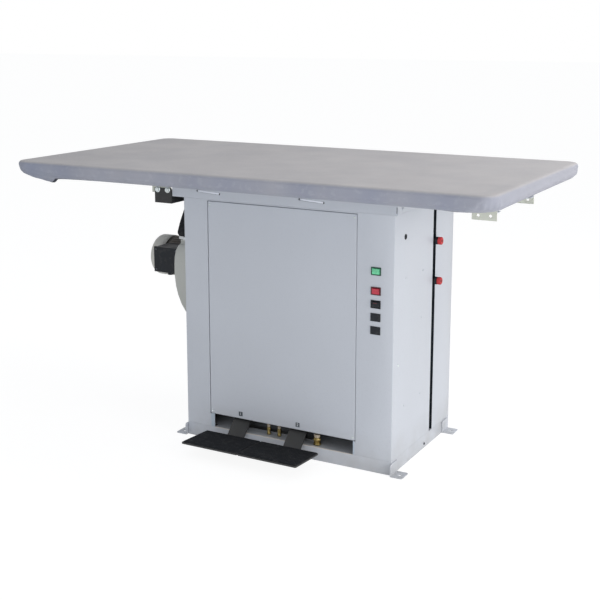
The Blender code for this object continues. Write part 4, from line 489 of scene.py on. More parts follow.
def screw_mesh():
    """A pan-head screw of unit radius with a cross recess, standing on its seat."""
    shape = bmesh.new()
    reach = 0.42
    bmesh.ops.create_grid(shape, x_segments=3, y_segments=3, size=reach)
    corners = [
        f for f in shape.faces if min(abs(f.calc_center_median()[i]) for i in (0, 1)) > reach / 2
    ]
    bmesh.ops.delete(shape, geom=corners, context="FACES")
    for v in shape.verts:
        v.co.x *= 0.4 if abs(v.co.x) < reach / 2 else 1.0
        v.co.y *= 0.4 if abs(v.co.y) < reach / 2 else 1.0
        v.co.z = 0.22
    walls, cross, _ = extruded(shape, open_edges(shape))
    bmesh.ops.translate(shape, vec=(0.0, 0.0, 0.36), verts=walls)
    ring = bmesh.ops.create_circle(shape, segments=16, radius=0.62)["verts"]
    bmesh.ops.translate(shape, vec=(0.0, 0.0, 0.58), verts=ring)
    loop = list({e for v in ring for e in v.link_edges})
    bmesh.ops.triangle_fill(shape, use_beauty=True, edges=cross + loop)
    for radius, height in ((0.88, 0.44), (1.0, 0.2), (1.0, 0.0)):
        verts, loop, _ = extruded(shape, loop)
        for v in verts:
            v.co = Vector((v.co.x, v.co.y, 0.0)).normalized() * radius
            v.co.z = height
    return shape


def bolt_shape():
    """A hexagon bolt head on its washer, of unit washer radius."""
    shape = turned([(0.0, 0.0), (1.0, 0.0), (1.0, 0.1), (0.94, 0.14), (0.0, 0.14)], 24)
    add_shape(shape, prism(0.78, 0.14, 0.62, 6, 0.07))
    return add_shape(shape, turned([(0.0, 0.62), (0.3, 0.62), (0.26, 0.68), (0.0, 0.68)], 12))


def fasteners(name, spots, radius=SCREW, make=screw_mesh, finish="bright_zinc", body="table"):
    """Sets the same fastener at each spot, given as a centre and the way it faces."""
    shape = bmesh.new()
    for centre, direction in spots:
        add_shape(shape, make(), facing(centre, direction, radius))
    return piece(name, shape, "zinc_steel", finish, body)


def spots_at(xs, ys, zs, direction):
    """Every place that these coordinates give, all facing one way."""
    return [((x, y, z), direction) for x in xs for y in ys for z in zs]


# Studio

WHITE = (1.0, 1.0, 1.0, 1.0)


def set_camera():
    """The photograph's own view."""
    data = bpy.data.cameras.new("camera")
    data.lens = 66.14
    data.sensor_width = 36.0
    data.shift_y = -0.10
    data.clip_end = 200.0
    camera = linked("camera", data)
    yaw, pitch = math.radians(28.645), math.radians(10.964)
    back = Vector(
        (math.sin(yaw) * math.cos(pitch), -math.cos(yaw) * math.cos(pitch), math.sin(pitch))
    )
    camera.location = (1.7238, -3.1280, 1.3550)
    camera.rotation_euler = (-back).to_track_quat("-Z", "Y").to_euler()
    bpy.context.scene.camera = camera


def add_softbox(name, place, aim, level, size, colour):
    """A square soft light that gives its level, as a share of full light, where it is aimed."""
    reach = Vector(aim) - Vector(place)
    data = bpy.data.lights.new(name, "AREA")
    data.energy = level * math.pi**2 * reach.length_squared
    data.size = size
    data.color = colour
    lamp = linked(name, data)
    lamp.visible_camera = False
    lamp.location = place
    lamp.rotation_euler = reach.to_track_quat("-Z", "Y").to_euler()


def seen_directly(tree):
    """One where a ray comes from the camera, or from glossy metal or glass, and otherwise none."""
    path = add_node(tree, "LightPath")
    total = path.outputs["Is Camera Ray"]
    for name in ("Is Glossy Ray", "Is Transmission Ray"):
        feeds = {0: total, 1: path.outputs[name]}
        total = add_node(tree, "Math", feeds, operation="MAXIMUM").outputs[0]
    return total


def build_world():
    """White surroundings as seen, and a softer, cooler light from all round."""
    world = bpy.data.worlds.new("white_studio")
    bpy.context.scene.world = world
    world.use_nodes = True
    tree = world.node_tree
    soft = tree.nodes["Background"]
    feed(soft, {"Color": (0.93, 0.96, 1.0, 1.0), "Strength": 0.5})
    white = add_node(tree, "Background", {"Color": WHITE, "Strength": 1.0})
    feeds = {0: seen_directly(tree), 1: soft.outputs[0], 2: white.outputs[0]}
    mix = add_node(tree, "MixShader", feeds)
    feed(tree.nodes["World Output"], {"Surface": mix.outputs[0]})


def build_floor():
    """A pale floor that keeps the shadow and otherwise passes into the white surroundings."""
    shape = bmesh.new()
    bmesh.ops.create_grid(shape, x_segments=1, y_segments=1, size=40.0)
    floor = linked("floor", as_mesh("floor", shape))
    floor.location.z = -0.0004
    coat = bpy.data.materials.new("floor_white")
    coat.use_nodes = True
    tree = coat.node_tree
    tree.nodes.remove(tree.nodes["Principled BSDF"])
    matt = add_node(tree, "BsdfDiffuse", {"Color": (0.93, 0.935, 0.94, 1.0)})
    bright = add_node(tree, "Emission", {"Color": WHITE, "Strength": 1.12})
    feeds = {0: seen_directly(tree), 1: 0.8}
    part = add_node(tree, "Math", feeds, operation="MULTIPLY")
    feeds = {0: part.outputs[0], 1: matt.outputs[0], 2: bright.outputs[0]}
    mix = add_node(tree, "MixShader", feeds)
    feed(tree.nodes["Material Output"], {"Surface": mix.outputs[0]})
    floor.data.materials.append(coat)


def build_studio():
    """The surroundings, the floor and three soft lights."""
    bpy.context.scene.view_settings.view_transform = "Standard"
    build_world()
    build_floor()
    add_softbox("side_light", (4.4, -1.0, 1.2), (0.44, -0.05, 0.5), 0.515, 2.5, (1.0, 0.975, 0.93))
    add_softbox("top_light", (1.7, 0.9, 3.0), (0.4, 0.1, 0.92), 0.48, 1.4, (1.0, 0.985, 0.97))
    add_softbox("front_light", (1.0, -4.2, 0.9), (0.1, -0.2, 0.45), 0.205, 2.4, (0.96, 0.98, 1.0))


# Table top


def stepped(reach, fine, coarse, depth):
    """Places for cuts across a sheet: close together near its edges, wide apart between them."""
    places = []
    at = -reach
    while at < reach:
        near = min(at + reach, reach - at)
        at += fine if near < depth else coarse
        places.append(at)
    return [p for p in places if p < reach - fine / 2]


def corner_sheet(z):
    """A flat sheet with round corners, cut into faces that are smallest near its edge."""
    shape = bmesh.new()
    bmesh.ops.create_grid(shape, x_segments=1, y_segments=1, size=1.0)
    bmesh.ops.scale(shape, vec=(FLAT_X, FLAT_Y, 1.0), verts=shape.verts)
    for half, normal in ((FLAT_X, Vector(RIGHT)), (FLAT_Y, Vector(BACK))):
        for at in stepped(half, 0.005, 0.02, 0.05):
            cut_across(shape, normal * at, normal)
    inner = (FLAT_X - FLAT_CORNER, FLAT_Y - FLAT_CORNER)
    for v in shape.verts:
        centre = Vector([math.copysign(inner[i], v.co[i]) for i in (0, 1)])
        out = Vector((v.co.x - centre.x, v.co.y - centre.y))
        if out.x * v.co.x > 0 and out.y * v.co.y > 0:
            longest = max(abs(out.x), abs(out.y))
            out = out.normalized() * longest
            v.co.x, v.co.y = centre.x + out.x, centre.y + out.y
        v.co.z = z
    return shape


def rim_place(v):
    """Where a point of the rim is: its corner, and how far round the rim it is from that corner."""
    inner = Vector((FLAT_X - FLAT_CORNER, FLAT_Y - FLAT_CORNER))
    near = Vector((max(-inner.x, min(inner.x, v.co.x)), max(-inner.y, min(inner.y, v.co.y))))
    out = Vector((v.co.x - near.x, v.co.y - near.y))
    turn = math.atan2(abs(out.y), abs(out.x)) - math.pi / 4
    along = (inner.x - abs(near.x)) + (inner.y - abs(near.y)) + FLAT_CORNER * abs(turn)
    corner = (math.copysign(1.0, v.co.x), math.copysign(1.0, v.co.y))
    return corner, math.copysign(along, turn)


def on_ring(place, inset, radius):
    """The same place on a ring that lies further in and has rounder corners, and its way out."""
    corner, along = place
    half = (HALF_WIDTH, HALF_LENGTH) if along < 0 else (HALF_LENGTH, HALF_WIDTH)
    first = half[0] - SHOULDER - (CORNER - SHOULDER) * (1.0 - math.pi / 4)
    long_way = half[0] - inset - radius * (1.0 - math.pi / 4)
    away = abs(along) * long_way / first
    arc = radius * math.pi / 4
    if away < arc:
        angle = math.pi / 4 - away / radius
        out = (math.sin(angle), math.cos(angle))
        spot = [half[i] - inset - radius + radius * out[i] for i in (0, 1)]
    else:
        out = (0.0, 1.0)
        spot = [half[0] - inset - radius - (away - arc), half[1] - inset]
    if along < 0:
        out, spot = out[::-1], spot[::-1]
    return [Vector((pair[0] * corner[0], pair[1] * corner[1])) for pair in (spot, out)]


def rings_down(shape, profile, shift, hem_from=math.inf):
    """Draws the sheet's rim down through rings of inset, height and corner radius."""
    rim = {v: rim_place(v) for v in shape.verts if v.is_boundary}
    loop = open_edges(shape)
    for step, (inset, z, radius) in enumerate(profile):
        verts, loop, faces = extruded(shape, loop)
        lower = {}
        for v in verts:
            old = next(e.other_vert(v) for e in v.link_edges if e.other_vert(v) in rim)
            spot, out = on_ring(rim[old], inset, radius)
            away, drop = shift(step, rim[old], spot)
            spot = spot + out * away
            v.co = (spot.x, spot.y, z - drop)
            lower[v] = rim[old]
        if step >= hem_from:
            for f in faces:
                f.material_index = 1
        rim = lower
    return loop


def shoulder_bend(gap, degrees):
    """Rings round the soft shoulder, a gap inside the cover's outer skin."""
    bend = SHOULDER - gap
    rings = []
    for angle in degrees:
        a = math.radians(angle)
        inset = SHOULDER - bend * math.sin(a)
        rings.append((inset, TOP_Z - gap - bend + bend * math.cos(a), CORNER - inset))
    return rings


# Rings of the cover below its shoulder: inset, height, corner radius, fold and corner's sag
BAND = [
    (0.0006, 0.9070, 0.0465, 0.12, 0.0),
    (0.0004, 0.9005, 0.0500, 0.26, 0.0012),
    (0.0005, 0.8945, 0.0540, 0.5, 0.0032),
    (0.0012, 0.8890, 0.0640, 0.8, 0.0058),
    (0.0035, 0.8846, 0.0820, 1.0, 0.0085),
    (0.0078, 0.8808, 0.0940, 1.1, 0.0125),
    (0.0138, 0.8782, 0.1010, 1.1, 0.0165),
    (0.0212, 0.8768, 0.1050, 1.0, 0.0208),
    (0.0290, 0.8762, 0.1080, 0.9, 0.0240),
    (0.0370, 0.8758, 0.1100, 0.8, 0.0262),
    (0.0392, 0.8742, 0.1100, 0.7, 0.0272),
    (0.0418, 0.8734, 0.1100, 0.7, 0.0275),
    (0.0442, 0.8743, 0.1100, 0.7, 0.0272),
    (0.0436, 0.8764, 0.1100, 0.7, 0.0265),
    (0.0408, 0.8768, 0.1100, 0.7, 0.0262),
]
HEM_ROWS = 5
CORNER_SAG = {(-1.0, -1.0): 0.72, (1.0, -1.0): 0.24, (1.0, 1.0): 0.2, (-1.0, 1.0): 0.45}


def build_cover():
    """The fitted cover: taut on top, gathered under the edge, and hanging at its corners."""
    shape = corner_sheet(TOP_Z - CLOTH / 2)
    for v in shape.verts:
        edge = min(FLAT_X - abs(v.co.x), FLAT_Y - abs(v.co.y))
        rest = held(edge / 0.05)
        soft = noise.noise(Vector((v.co.x * 3.1, v.co.y * 3.7, 1.3)))
        v.co.z -= rest * (0.0006 + 0.0006 * soft)
    bend = shoulder_bend(CLOTH / 2, (18, 36, 54, 72, 90))

    def folds(step, place, spot):
        """How far out a fold stands, and how far the cloth hangs, at this place of a ring."""
        if step < len(bend):
            return 0.0, 0.0
        fold, sag = BAND[step - len(bend)][3:]
        swell = gather(place, spot, fold)
        uneven = 0.85 + 0.3 * noise.noise(Vector((spot.x * 22, spot.y * 22, 4.0)))
        hang = sag * corner_hang(place[1]) * uneven * CORNER_SAG[place[0]]
        drawn = min(0.8 * hang, 0.007)
        return swell - drawn, hang - 0.3 * swell

    rings = bend + [row[:3] for row in BAND]
    rings_down(shape, rings, folds, len(rings) - HEM_ROWS)
    area = sum(f.calc_area() for f in shape.faces)
    made = piece("cover_cloth", shape, "cover_cloth", sharp=75.0)
    # The lowest rings wear the hem's finish: a binding, and painted shade where the cloth turns
    # under
    made.data.materials.append(FINISHES["hem_binding"])
    thick = made.modifiers.new("cloth_thickness", "SOLIDIFY")
    thick.thickness = CLOTH
    thick.offset = 0.0
    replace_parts(made, "table_cover")


def corner_share(along):
    """How near a place of the rim is to a corner, from 0 to 1."""
    return math.exp(-((along / 0.085) ** 2))


def corner_hang(along):
    """The share of a corner's full sag that the cloth has this far along the rim."""
    away = abs(along)
    near = held((0.088 - away) / 0.03)
    near = near * near * (3.0 - 2.0 * near)
    far = math.exp(-max(0.0, away - 0.06) / 0.09)
    return 0.62 * near + 0.38 * far


def gather(place, spot, fold):
    """How far a fold of the cover stands out at this place of its rim."""
    along = place[1]
    drift = noise.noise(Vector((spot.x * 3.0, spot.y * 5.0, 7.7)))
    start = 1.7 if place[0][0] * place[0][1] > 0 else 0.0
    phase = abs(along) * math.tau / PLEAT_PITCH + 3.0 * drift + start
    pleat = 1.0 - 2.0 * abs(math.sin(phase / 2.0)) ** 0.7
    gentle = noise.noise(Vector((spot.x * 13.0, spot.y * 13.0, 2.1)))
    return fold * (PLEAT_DEPTH * corner_share(along) * pleat + 0.0006 * gentle)


def build_pad():
    """The foam pad under the cover: crowned, its sides pulled in between its corners."""
    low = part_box("foam_pad")[0]
    crown = 0.0012
    top = TOP_Z - CLOTH - crown
    shape = corner_sheet(top)
    for v in shape.verts:
        away = max(abs(v.co.x) / HALF_LENGTH, abs(v.co.y) / HALF_WIDTH)
        v.co.z -= crown * away**6
    rows = [(0.0095, top - 0.0021), (0.0075, top - 0.0042), (0.0066, top - 0.0075)]
    rows += [(0.0070, top - 0.0125), (0.0086, low.z + 0.0002)]
    profile = [(inset, z, CORNER - inset) for inset, z in rows]

    def pull(step, place, spot):
        """How far the side is pulled in between the corners."""
        return -0.0013 * (1.0 - corner_share(place[1])) * min(1.0, step / 2), 0.0

    loop = rings_down(shape, profile, pull)
    bmesh.ops.contextual_create(shape, geom=loop)
    made = piece("pad_crowned", shape, "pad_foam", sharp=60.0)
    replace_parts(made, "foam_pad")


# Cabinet, frame and collar


def folded_foot(node):
    """A plain folded foot: a flange on the plinth's side and a flat tab with its anchor hole."""
    low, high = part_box(node)
    toward = 1.0 if low.y + high.y < 0.0 else -1.0
    cut_y = high.y - 0.0031 if toward > 0 else low.y + 0.0031
    tip = low.x if low.x + high.x < 0.0 else high.x
    shape = merged_copy(node)
    cut_across(shape, (0, cut_y, 0), (0, toward, 0), clear_outer=True)
    bmesh.ops.holes_fill(shape, edges=open_edges(shape), sides=0)

    def at_corner(edge):
        """Whether an edge is an upright at the tab's tip, or one across the flange's top."""
        a, b = (v.co for v in edge.verts)
        at_tip = abs(a.x - tip) < MERGE * 5 and abs(b.x - tip) < MERGE * 5
        upright = abs(a.z - b.z) > 0.002 and abs(a.y - b.y) < MERGE * 5
        at_top = min(a.z, b.z) > high.z - MERGE * 5 and abs(a.x - b.x) > 0.002
        return at_tip and upright or at_top and abs(a.y - b.y) < MERGE * 5

    corners = [e for e in shape.edges if at_corner(e)]
    bevel_edges(shape, corners, 0.006, 4)
    made = piece(f"{node}_folded", shape, SLOT_OF[node])
    round_edges(made, 0.0006)
    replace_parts(made, node)


def build_sheet_metal():
    """Every folded sheet piece, with its edges eased."""
    eased("base_frame", 0.0014, 3)
    for node in ("front_panel", "panel_frame", "rear_housing", "rear_panel"):
        eased(node)
    for side in ("front_left", "front_right", "rear_left", "rear_right"):
        folded_foot(f"foot_{side}")
        eased(f"accessory_plate_{side}", 0.0005)
    for node in ("collar_frame", "rail_front", "rail_rear", "pedal_bracket", "base_pan"):
        eased(node, 0.0004)
    # The slot strips' dark finish also paints the shade deep in each slot
    for node in ("slot_strip_left", "slot_strip_right"):
        eased(node, 0.0003, finish="dark_strip")
    shell = eased("cabinet_shell", 0.0004)
    # Inner faces take the dark primer, which also serves as painted shade inside the cabinet
    shell.data.materials.append(FINISHES["dark_primer"])
    low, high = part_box("cabinet_shell")
    margin = 0.0012
    for face in shell.data.polygons:
        if all(low[i] + margin < face.center[i] < high[i] - margin for i in range(3)):
            face.material_index = 1


def build_panel_fittings():
    """Screws of the panel, walls and frame, the breather's grommet and the pedals' numbers."""
    low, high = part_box("front_panel")
    xs, zs = (low.x + 0.0075, high.x - 0.0075), (low.z + 0.0105, high.z - 0.0105)
    fasteners("panel_screws", spots_at(xs, (low.y,), zs, FRONT))
    left, right = (corner.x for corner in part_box("cabinet_shell"))
    sides = []
    for y, z in ((0.020, 0.452), (0.024, 0.604), (-0.110, 0.605), (0.020, 0.20), (-0.110, 0.20)):
        sides.append(((right, y, z), RIGHT))
        if z < 0.3:
            sides.append(((left, y, z), LEFT))
    fasteners("side_screws", sides, 0.003, finish="cabinet_grey")
    catch = [((right, -0.1603, 0.3417), RIGHT)]
    fasteners("side_catch", catch, 0.0042)
    foot = [((right, 0.0647, 0.0146), RIGHT), ((left, 0.0647, 0.0146), LEFT)]
    fasteners("frame_screws", foot, 0.0046, bolt_shape, "blackened")
    build_collar_trim()
    ring = [(0.0045, 0.0), (0.0085, 0.0), (0.0085, 0.0007), (0.0074, 0.0017), (0.0058, 0.0017)]
    ring += [(0.0045, 0.0009), (0.0045, 0.0)]
    grommet = placed(turned(ring, 32), facing((right, -0.1185, 0.734), RIGHT))
    piece("breather_grommet", grommet, "black_rubber")
    for text, x in (("1", -0.0982), ("2", 0.1146)):
        build_number(text, (x, low.y, 0.1064))


def build_collar_trim():
    """The plate that closes the collar's end, its bolts, and lips in its slots painted near white
    as painted light.
    """
    low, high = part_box("collar_frame")
    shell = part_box("cabinet_shell")
    right = shell[1].x
    corner = (right - 0.0014, low.y + 0.0018, shell[1].z + 0.0003)
    soft_box("collar_end_plate", corner, (right + 0.0002, shell[1].y, high.z), 0.0003)
    ends = [((right + 0.0002, y, 0.823), RIGHT) for y in (-0.1446, 0.085)]
    fasteners("collar_bolts", ends, 0.0052, finish="cabinet_grey")
    # A dark box in the gap at the collar's end: painted shadow behind the web's end
    corner = (high.x - 0.0016, low.y + 0.0012, 0.8345)
    gap = box_shape((high.x - 0.0036, low.y - 0.0002, 0.8165), corner)
    piece("collar_end_gap_shadow", gap, finish="dark_strip")
    # The lips are painted near white, as painted light where the slots show bright
    lips = bmesh.new()
    for from_left in (0.095, 0.470):
        x = low.x + from_left + 0.045
        lip = box_shape((-0.0402, 0.0003, -0.0029), (0.0402, 0.0022, 0.0029))
        edges = [e for e in lip.edges if all(v.co.y < 0.001 for v in e.verts)]
        bevel_edges(lip, edges, 0.0008)
        tilt = Matrix.Rotation(math.radians(3.5), 4, "Y")
        add_shape(lips, lip, Matrix.Translation((x, low.y, high.z - 0.0085)) @ tilt)
    piece("collar_slot_lit_lips", lips, finish="lip_white")


def build_slot_trim():
    """Rubber edging down both walls of each pipe slot, out to the cabinet's sides, dark as painted
    shade of the slot.
    """
    for side, sign in (("right", 1), ("left", -1)):
        low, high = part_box(f"slot_strip_{side}")
        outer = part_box("cabinet_shell")[1 if sign > 0 else 0].x
        inner = high.x if sign > 0 else low.x
        near, far = sorted((inner + sign * 0.0002, outer - sign * 0.0003))
        shape = bmesh.new()
        for y in (low.y - 0.0001, high.y - 0.0009):
            strip = box_shape((near, y, low.z + 0.0004), (far, y + 0.001, high.z - 0.0004))
            add_shape(shape, strip)
        round_edges(piece(f"slot_edging_{side}", shape, "black_plastic", "dark_strip"), 0.0002)


def build_opening_trim():
    """Folded edges of the pedal opening, its two jambs and its sill, painted apart from the cabinet
    as painted light.
    """
    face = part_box("cabinet_shell")[0].y
    left, right, low, high = -0.1995, 0.311, 0.044, 0.0895
    shape = bmesh.new()
    # The jambs are painted a bluish grey as painted light on the turned edges
    for x0, x1 in ((left - 0.014, left), (right, right + 0.005)):
        add_shape(shape, box_shape((x0, face - 0.0005, low), (x1, face + 0.0005, high)))
    round_edges(piece("opening_jambs", shape, finish="jamb_blue"), 0.0002)
    # The sill is painted pale cream as a painted highlight along its lip
    corners = (left, face - 0.0006, low - 0.0016), (right, face + 0.003, low + 0.0003)
    soft_box("opening_sill", *corners, 0.0002, finish="pale_edge")


def build_number(text, centre):
    """A small dark plate with a plain number, on the front panel."""
    x, y, z = centre
    half, thick = 0.0072, 0.0009
    corners = (x - half, y - thick, z - half), (x + half, y, z + half)
    soft_box(f"number_plate_{text}", *corners, 0.0003, "black_plastic", "plate_dark")
    curve = bpy.data.curves.new("numeral", "FONT")
    curve.body = text
    curve.size = 0.0125
    curve.extrude = 0.0002
    curve.align_x = "CENTER"
    curve.align_y = "CENTER"
    holder = linked("numeral", curve)
    flat = bpy.data.meshes.new_from_object(holder)
    bpy.data.objects.remove(holder)
    bpy.data.curves.remove(curve)
    shape = bmesh.new()
    shape.from_mesh(flat)
    bpy.data.meshes.remove(flat)
    place = Matrix.Translation((x, y - thick - 0.0002, z)) @ Matrix.Rotation(math.pi / 2, 4, "X")
    bmesh.ops.transform(shape, matrix=place, verts=shape.verts)
    piece(f"numeral_{text}", shape, "black_plastic", "numeral_white")


def build_rear_fittings():
    """The rear housing's lid, louvre hoods over the rear panel's slots, and the screws."""
    low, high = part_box("rear_housing")
    wall = 0.0016
    top = high.z - 0.0009
    corner = (high.x - wall, high.y - wall, top)
    soft_box("rear_housing_lid", (low.x + wall, low.y + wall, high.z - 0.0024), corner, 0.0005)
    xs = (low.x + 0.02, (low.x + high.x) / 2, high.x - 0.02)
    spots = spots_at(xs, (low.y + 0.02, high.y - 0.02), (top,), UP)
    fasteners("lid_screws", spots)
    low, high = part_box("rear_panel")
    middle = (low.x + high.x) / 2
    hoods = bmesh.new()
    top, pitch, half = 0.745, 0.016, 0.037
    for x in (middle - 0.22, middle, middle + 0.22):
        for row in range(5):
            z = top - (row + 1) * pitch
            corner = (x + half, high.y + 0.0045, z + 0.0068)
            hood = box_shape((x - half, high.y, z + 0.0018), corner)
            outer = [e for e in hood.edges if all(v.co.y > high.y + MERGE for v in e.verts)]
            bevel_edges(hood, outer, 0.002, 3)
            add_shape(hoods, hood)
    piece("rear_louvres", hoods)
    left, right = low.x + 0.0075, high.x - 0.0075
    zs = (low.z + 0.0075, high.z - 0.0075)
    spots = spots_at((left, middle, right), (high.y,), zs, BACK)
    spots += spots_at((left, right), (high.y,), (0.315, 0.545), BACK)
    fasteners("rear_screws", spots)


def build_tray():
    """The tray, its corners drawn in so that they lie well inside the cover's."""
    reach = 0.1
    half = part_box("table_tray")[1]
    shape = merged_copy("table_tray")
    for axis in range(2):
        for sign in (-1, 1):
            normal = Vector((0, 0, 0))
            normal[axis] = sign
            cut_across(shape, normal * (half[axis] - reach), normal)
    for v in shape.verts:
        x, y = abs(v.co.x) - (half.x - reach), abs(v.co.y) - (half.y - reach)
        away = math.hypot(x, y)
        if x > 0 and y > 0 and away > reach:
            v.co.x = math.copysign(half.x - reach + x * reach / away, v.co.x)
            v.co.y = math.copysign(half.y - reach + y * reach / away, v.co.y)
    made = piece("table_tray_rounded", shape, SLOT_OF["table_tray"])
    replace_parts(made, "table_tray")


def build_top_fittings():
    """The accessory socket with its bolts, and the bolts at the rails' ends."""
    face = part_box("accessory_socket")[0].y
    spots = spots_at((-0.4078, -0.3688), (face,), (0.8298,), FRONT)
    fasteners("socket_bolts", spots, 0.0098, bolt_shape)
    eased("accessory_socket", 0.0007)
    low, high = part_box("rail_front")
    xs, ys = (low.x + 0.018, high.x - 0.018), ((low.y + high.y) / 2, 0.135)
    fasteners("rail_bolts", spots_at(xs, ys, (low.z,), DOWN), 0.0075, bolt_shape)


# Switches


def build_switches():
    """Rocker switches and blanks, and the mark on the black rocker."""
    # The green and red switches' bezels are painted dark green and dark red as painted shade round
    # their lit rockers
    rim_shades = {"green": "dark_green", "red": "dark_red", "black": None}
    for name, rim in rim_shades.items():
        eased(f"switch_{name}", 0.0009, 3, rim)
        eased(f"rocker_{name}", 0.0006, 3)
    for name in ("upper", "lower"):
        eased(f"blank_{name}", 0.0009, 3)
    low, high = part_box("rocker_black")
    x, y, z = (low.x + high.x) / 2, low.y, (low.z + high.z) / 2 + 0.0045
    corners = (x - 0.0065, y - 0.0001, z - 0.0012), (x + 0.0065, y + 0.0016, z + 0.0012)
    soft_box("rocker_mark", *corners, 0.0003, "red_lens", "dark_red", "rocker_black")


# Pedals


def tip_forward(made, back, front):
    """Draws a pedal's plate a little further forward and up, from its back edge to its front."""
    for v in made.data.vertices:
        share = held((back - v.co.y) / (back - front))
        v.co.y -= TREAD_OUT * share
        v.co.z += TREAD_UP * share


def build_pedals():
    """Ribbed rubber treads, steel levers and their linkage."""
    for side in ("left", "right"):
        node = f"pedal_mat_{side}"
        low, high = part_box(node)
        tip_forward(eased(f"pedal_lever_{side}", 0.0009, 3), high.y, low.y)
        base = box_shape(low, (high.x, high.y, low.z + 0.0015))
        ribs = 30
        pitch = (high.x - low.x - 0.004) / ribs
        wide = pitch * 0.29
        for i in range(ribs):
            x = low.x + 0.002 + (i + 0.5) * pitch
            corner = (x + wide, high.y - 0.003, high.z)
            rib = box_shape((x - wide, low.y + 0.003, low.z + 0.0013), corner)
            crest = [e for e in rib.edges if all(v.co.z > high.z - MERGE for v in e.verts)]
            bevel_edges(rib, crest, 0.0007)
            add_shape(base, rib)
        made = piece(f"pedal_tread_{side}", base, "black_rubber", body=BODY_OF[node])
        tip_forward(made, high.y, low.y)
        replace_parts(made, node)
        eased(f"push_rod_{side}", 0.0003)
    low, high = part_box("pedal_shaft")
    y, z = middle_of(low, high)[1:]
    ends = [((low.x, y, z), LEFT), ((high.x, y, z), RIGHT)]
    fasteners("shaft_nuts", ends, 0.0075, bolt_shape)


def build_unions():
    """Brass unions with nylon tube ends, standing in the pedal opening."""
    for name in ("left", "middle", "right"):
        node = f"union_{name}"
        low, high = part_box(node)
        x, y = middle_of(low, high)[:2]
        radius = (high.x - low.x) / 2 * 1.15
        tall = high.z - low.z

        def part(rows):
            """A turned part, from rows of shares of the union's radius and height."""
            return turned([(radius * out, tall * up) for out, up in rows], 24)

        shape = prism(radius, 0.0, tall * 0.2, 6, radius * 0.09)
        body = [(0.0, 0.19), (0.86, 0.19)]
        for i in range(5):
            body += [(0.86, 0.22 + 0.04 * i), (0.8, 0.24 + 0.04 * i)]
        add_shape(shape, part(body + [(0.86, 0.42), (0.0, 0.42)]))
        nut = prism(radius * 0.98, tall * 0.42, tall * 0.62, 6, radius * 0.08)
        add_shape(shape, nut, Matrix.Rotation(math.radians(17.0), 4, "Z"))
        tail = [(0.0, 0.62), (0.86, 0.62), (0.86, 0.72), (0.7, 0.74), (0.0, 0.74)]
        add_shape(shape, part(tail))
        tube = [(0.6, 0.72), (0.8, 0.745), (0.8, 1.0), (0.6, 1.0), (0.6, 0.745), (0.6, 0.72)]
        sleeve = part(tube)
        for other in (shape, sleeve):
            bmesh.ops.translate(other, vec=(x, y, low.z), verts=other.verts)
        made = piece(f"{node}_fitting", shape, "brass")
        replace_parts(made, node)
        piece(f"{node}_tube", sleeve, "brass", "nylon_tube")


# Steam valves


def build_knobs():
    """Lobed hand knobs on black collars, beside the slot, the black partly painted shade on the
    knob's inner side.
    """
    for name in ("upper", "lower"):
        node = f"valve_knob_{name}"
        body = BODY_OF[node]
        low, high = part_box(node)
        y, z = middle_of(low, high)[1:]
        seat = facing((low.x, y, z), RIGHT)
        radius, length = (high.z - low.z) / 2, high.x - low.x
        split = length * 0.44
        rows = [(0.0, length - 0.0016), (0.42, length - 0.0016), (0.5, length - 0.0003)]
        rows += [(0.82, length), (0.94, length - 0.0008), (1.0, length - 0.0026)]
        rows += [(1.0, split + 0.002), (0.97, split + 0.0006), (0.6, split), (0.0, split)]
        grip = turned([(radius * share, height) for share, height in rows], 64)
        for v in grip.verts:
            out = math.hypot(v.co.x, v.co.y)
            if out > radius * 0.9:
                angle = math.atan2(v.co.y, v.co.x)
                share = 1.0 - 0.07 * (1.0 - abs(math.cos(4.0 * angle))) ** 1.5
                v.co.x, v.co.y = v.co.x * share, v.co.y * share
        shape = placed(grip, seat)
        made = piece(f"{node}_grip", shape, "red_plastic", body=body, sharp=50.0)
        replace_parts(made, node)
        # The black collar under the grip: a black base, and painted shade on the knob's side near
        # the slot
        ring = [(0.0, 0.0), (radius * 0.88, 0.0), (radius * 0.98, 0.0012)]
        ring += [(radius * 0.98, split - 0.001), (radius * 0.85, split), (0.0, split)]
        piece(f"{node}_collar", placed(turned(ring, 40), seat), "black_plastic", body=body)
        tip = ((high.x - 0.0016, y, z), RIGHT)
        fasteners(f"{node}_screw", [tip], 0.0032, finish="dark_red", body=body)
        eased(f"valve_{name}", 0.0004, finish="dark_bronze")


# Blower


def along_axis(x):
    """Stands a turned shape on the blower's axis, growing away from the cabinet from this place."""
    return facing((x, FAN_Y, FAN_Z), LEFT)


def screw_ring(x, radius, count, start):
    """Places in a ring round the blower's axis, facing away from the cabinet."""
    spots = []
    for i in range(count):
        angle = math.radians(start + 360.0 / count * i)
        y, z = FAN_Y + radius * math.cos(angle), FAN_Z + radius * math.sin(angle)
        spots.append(((x, y, z), LEFT))
    return spots


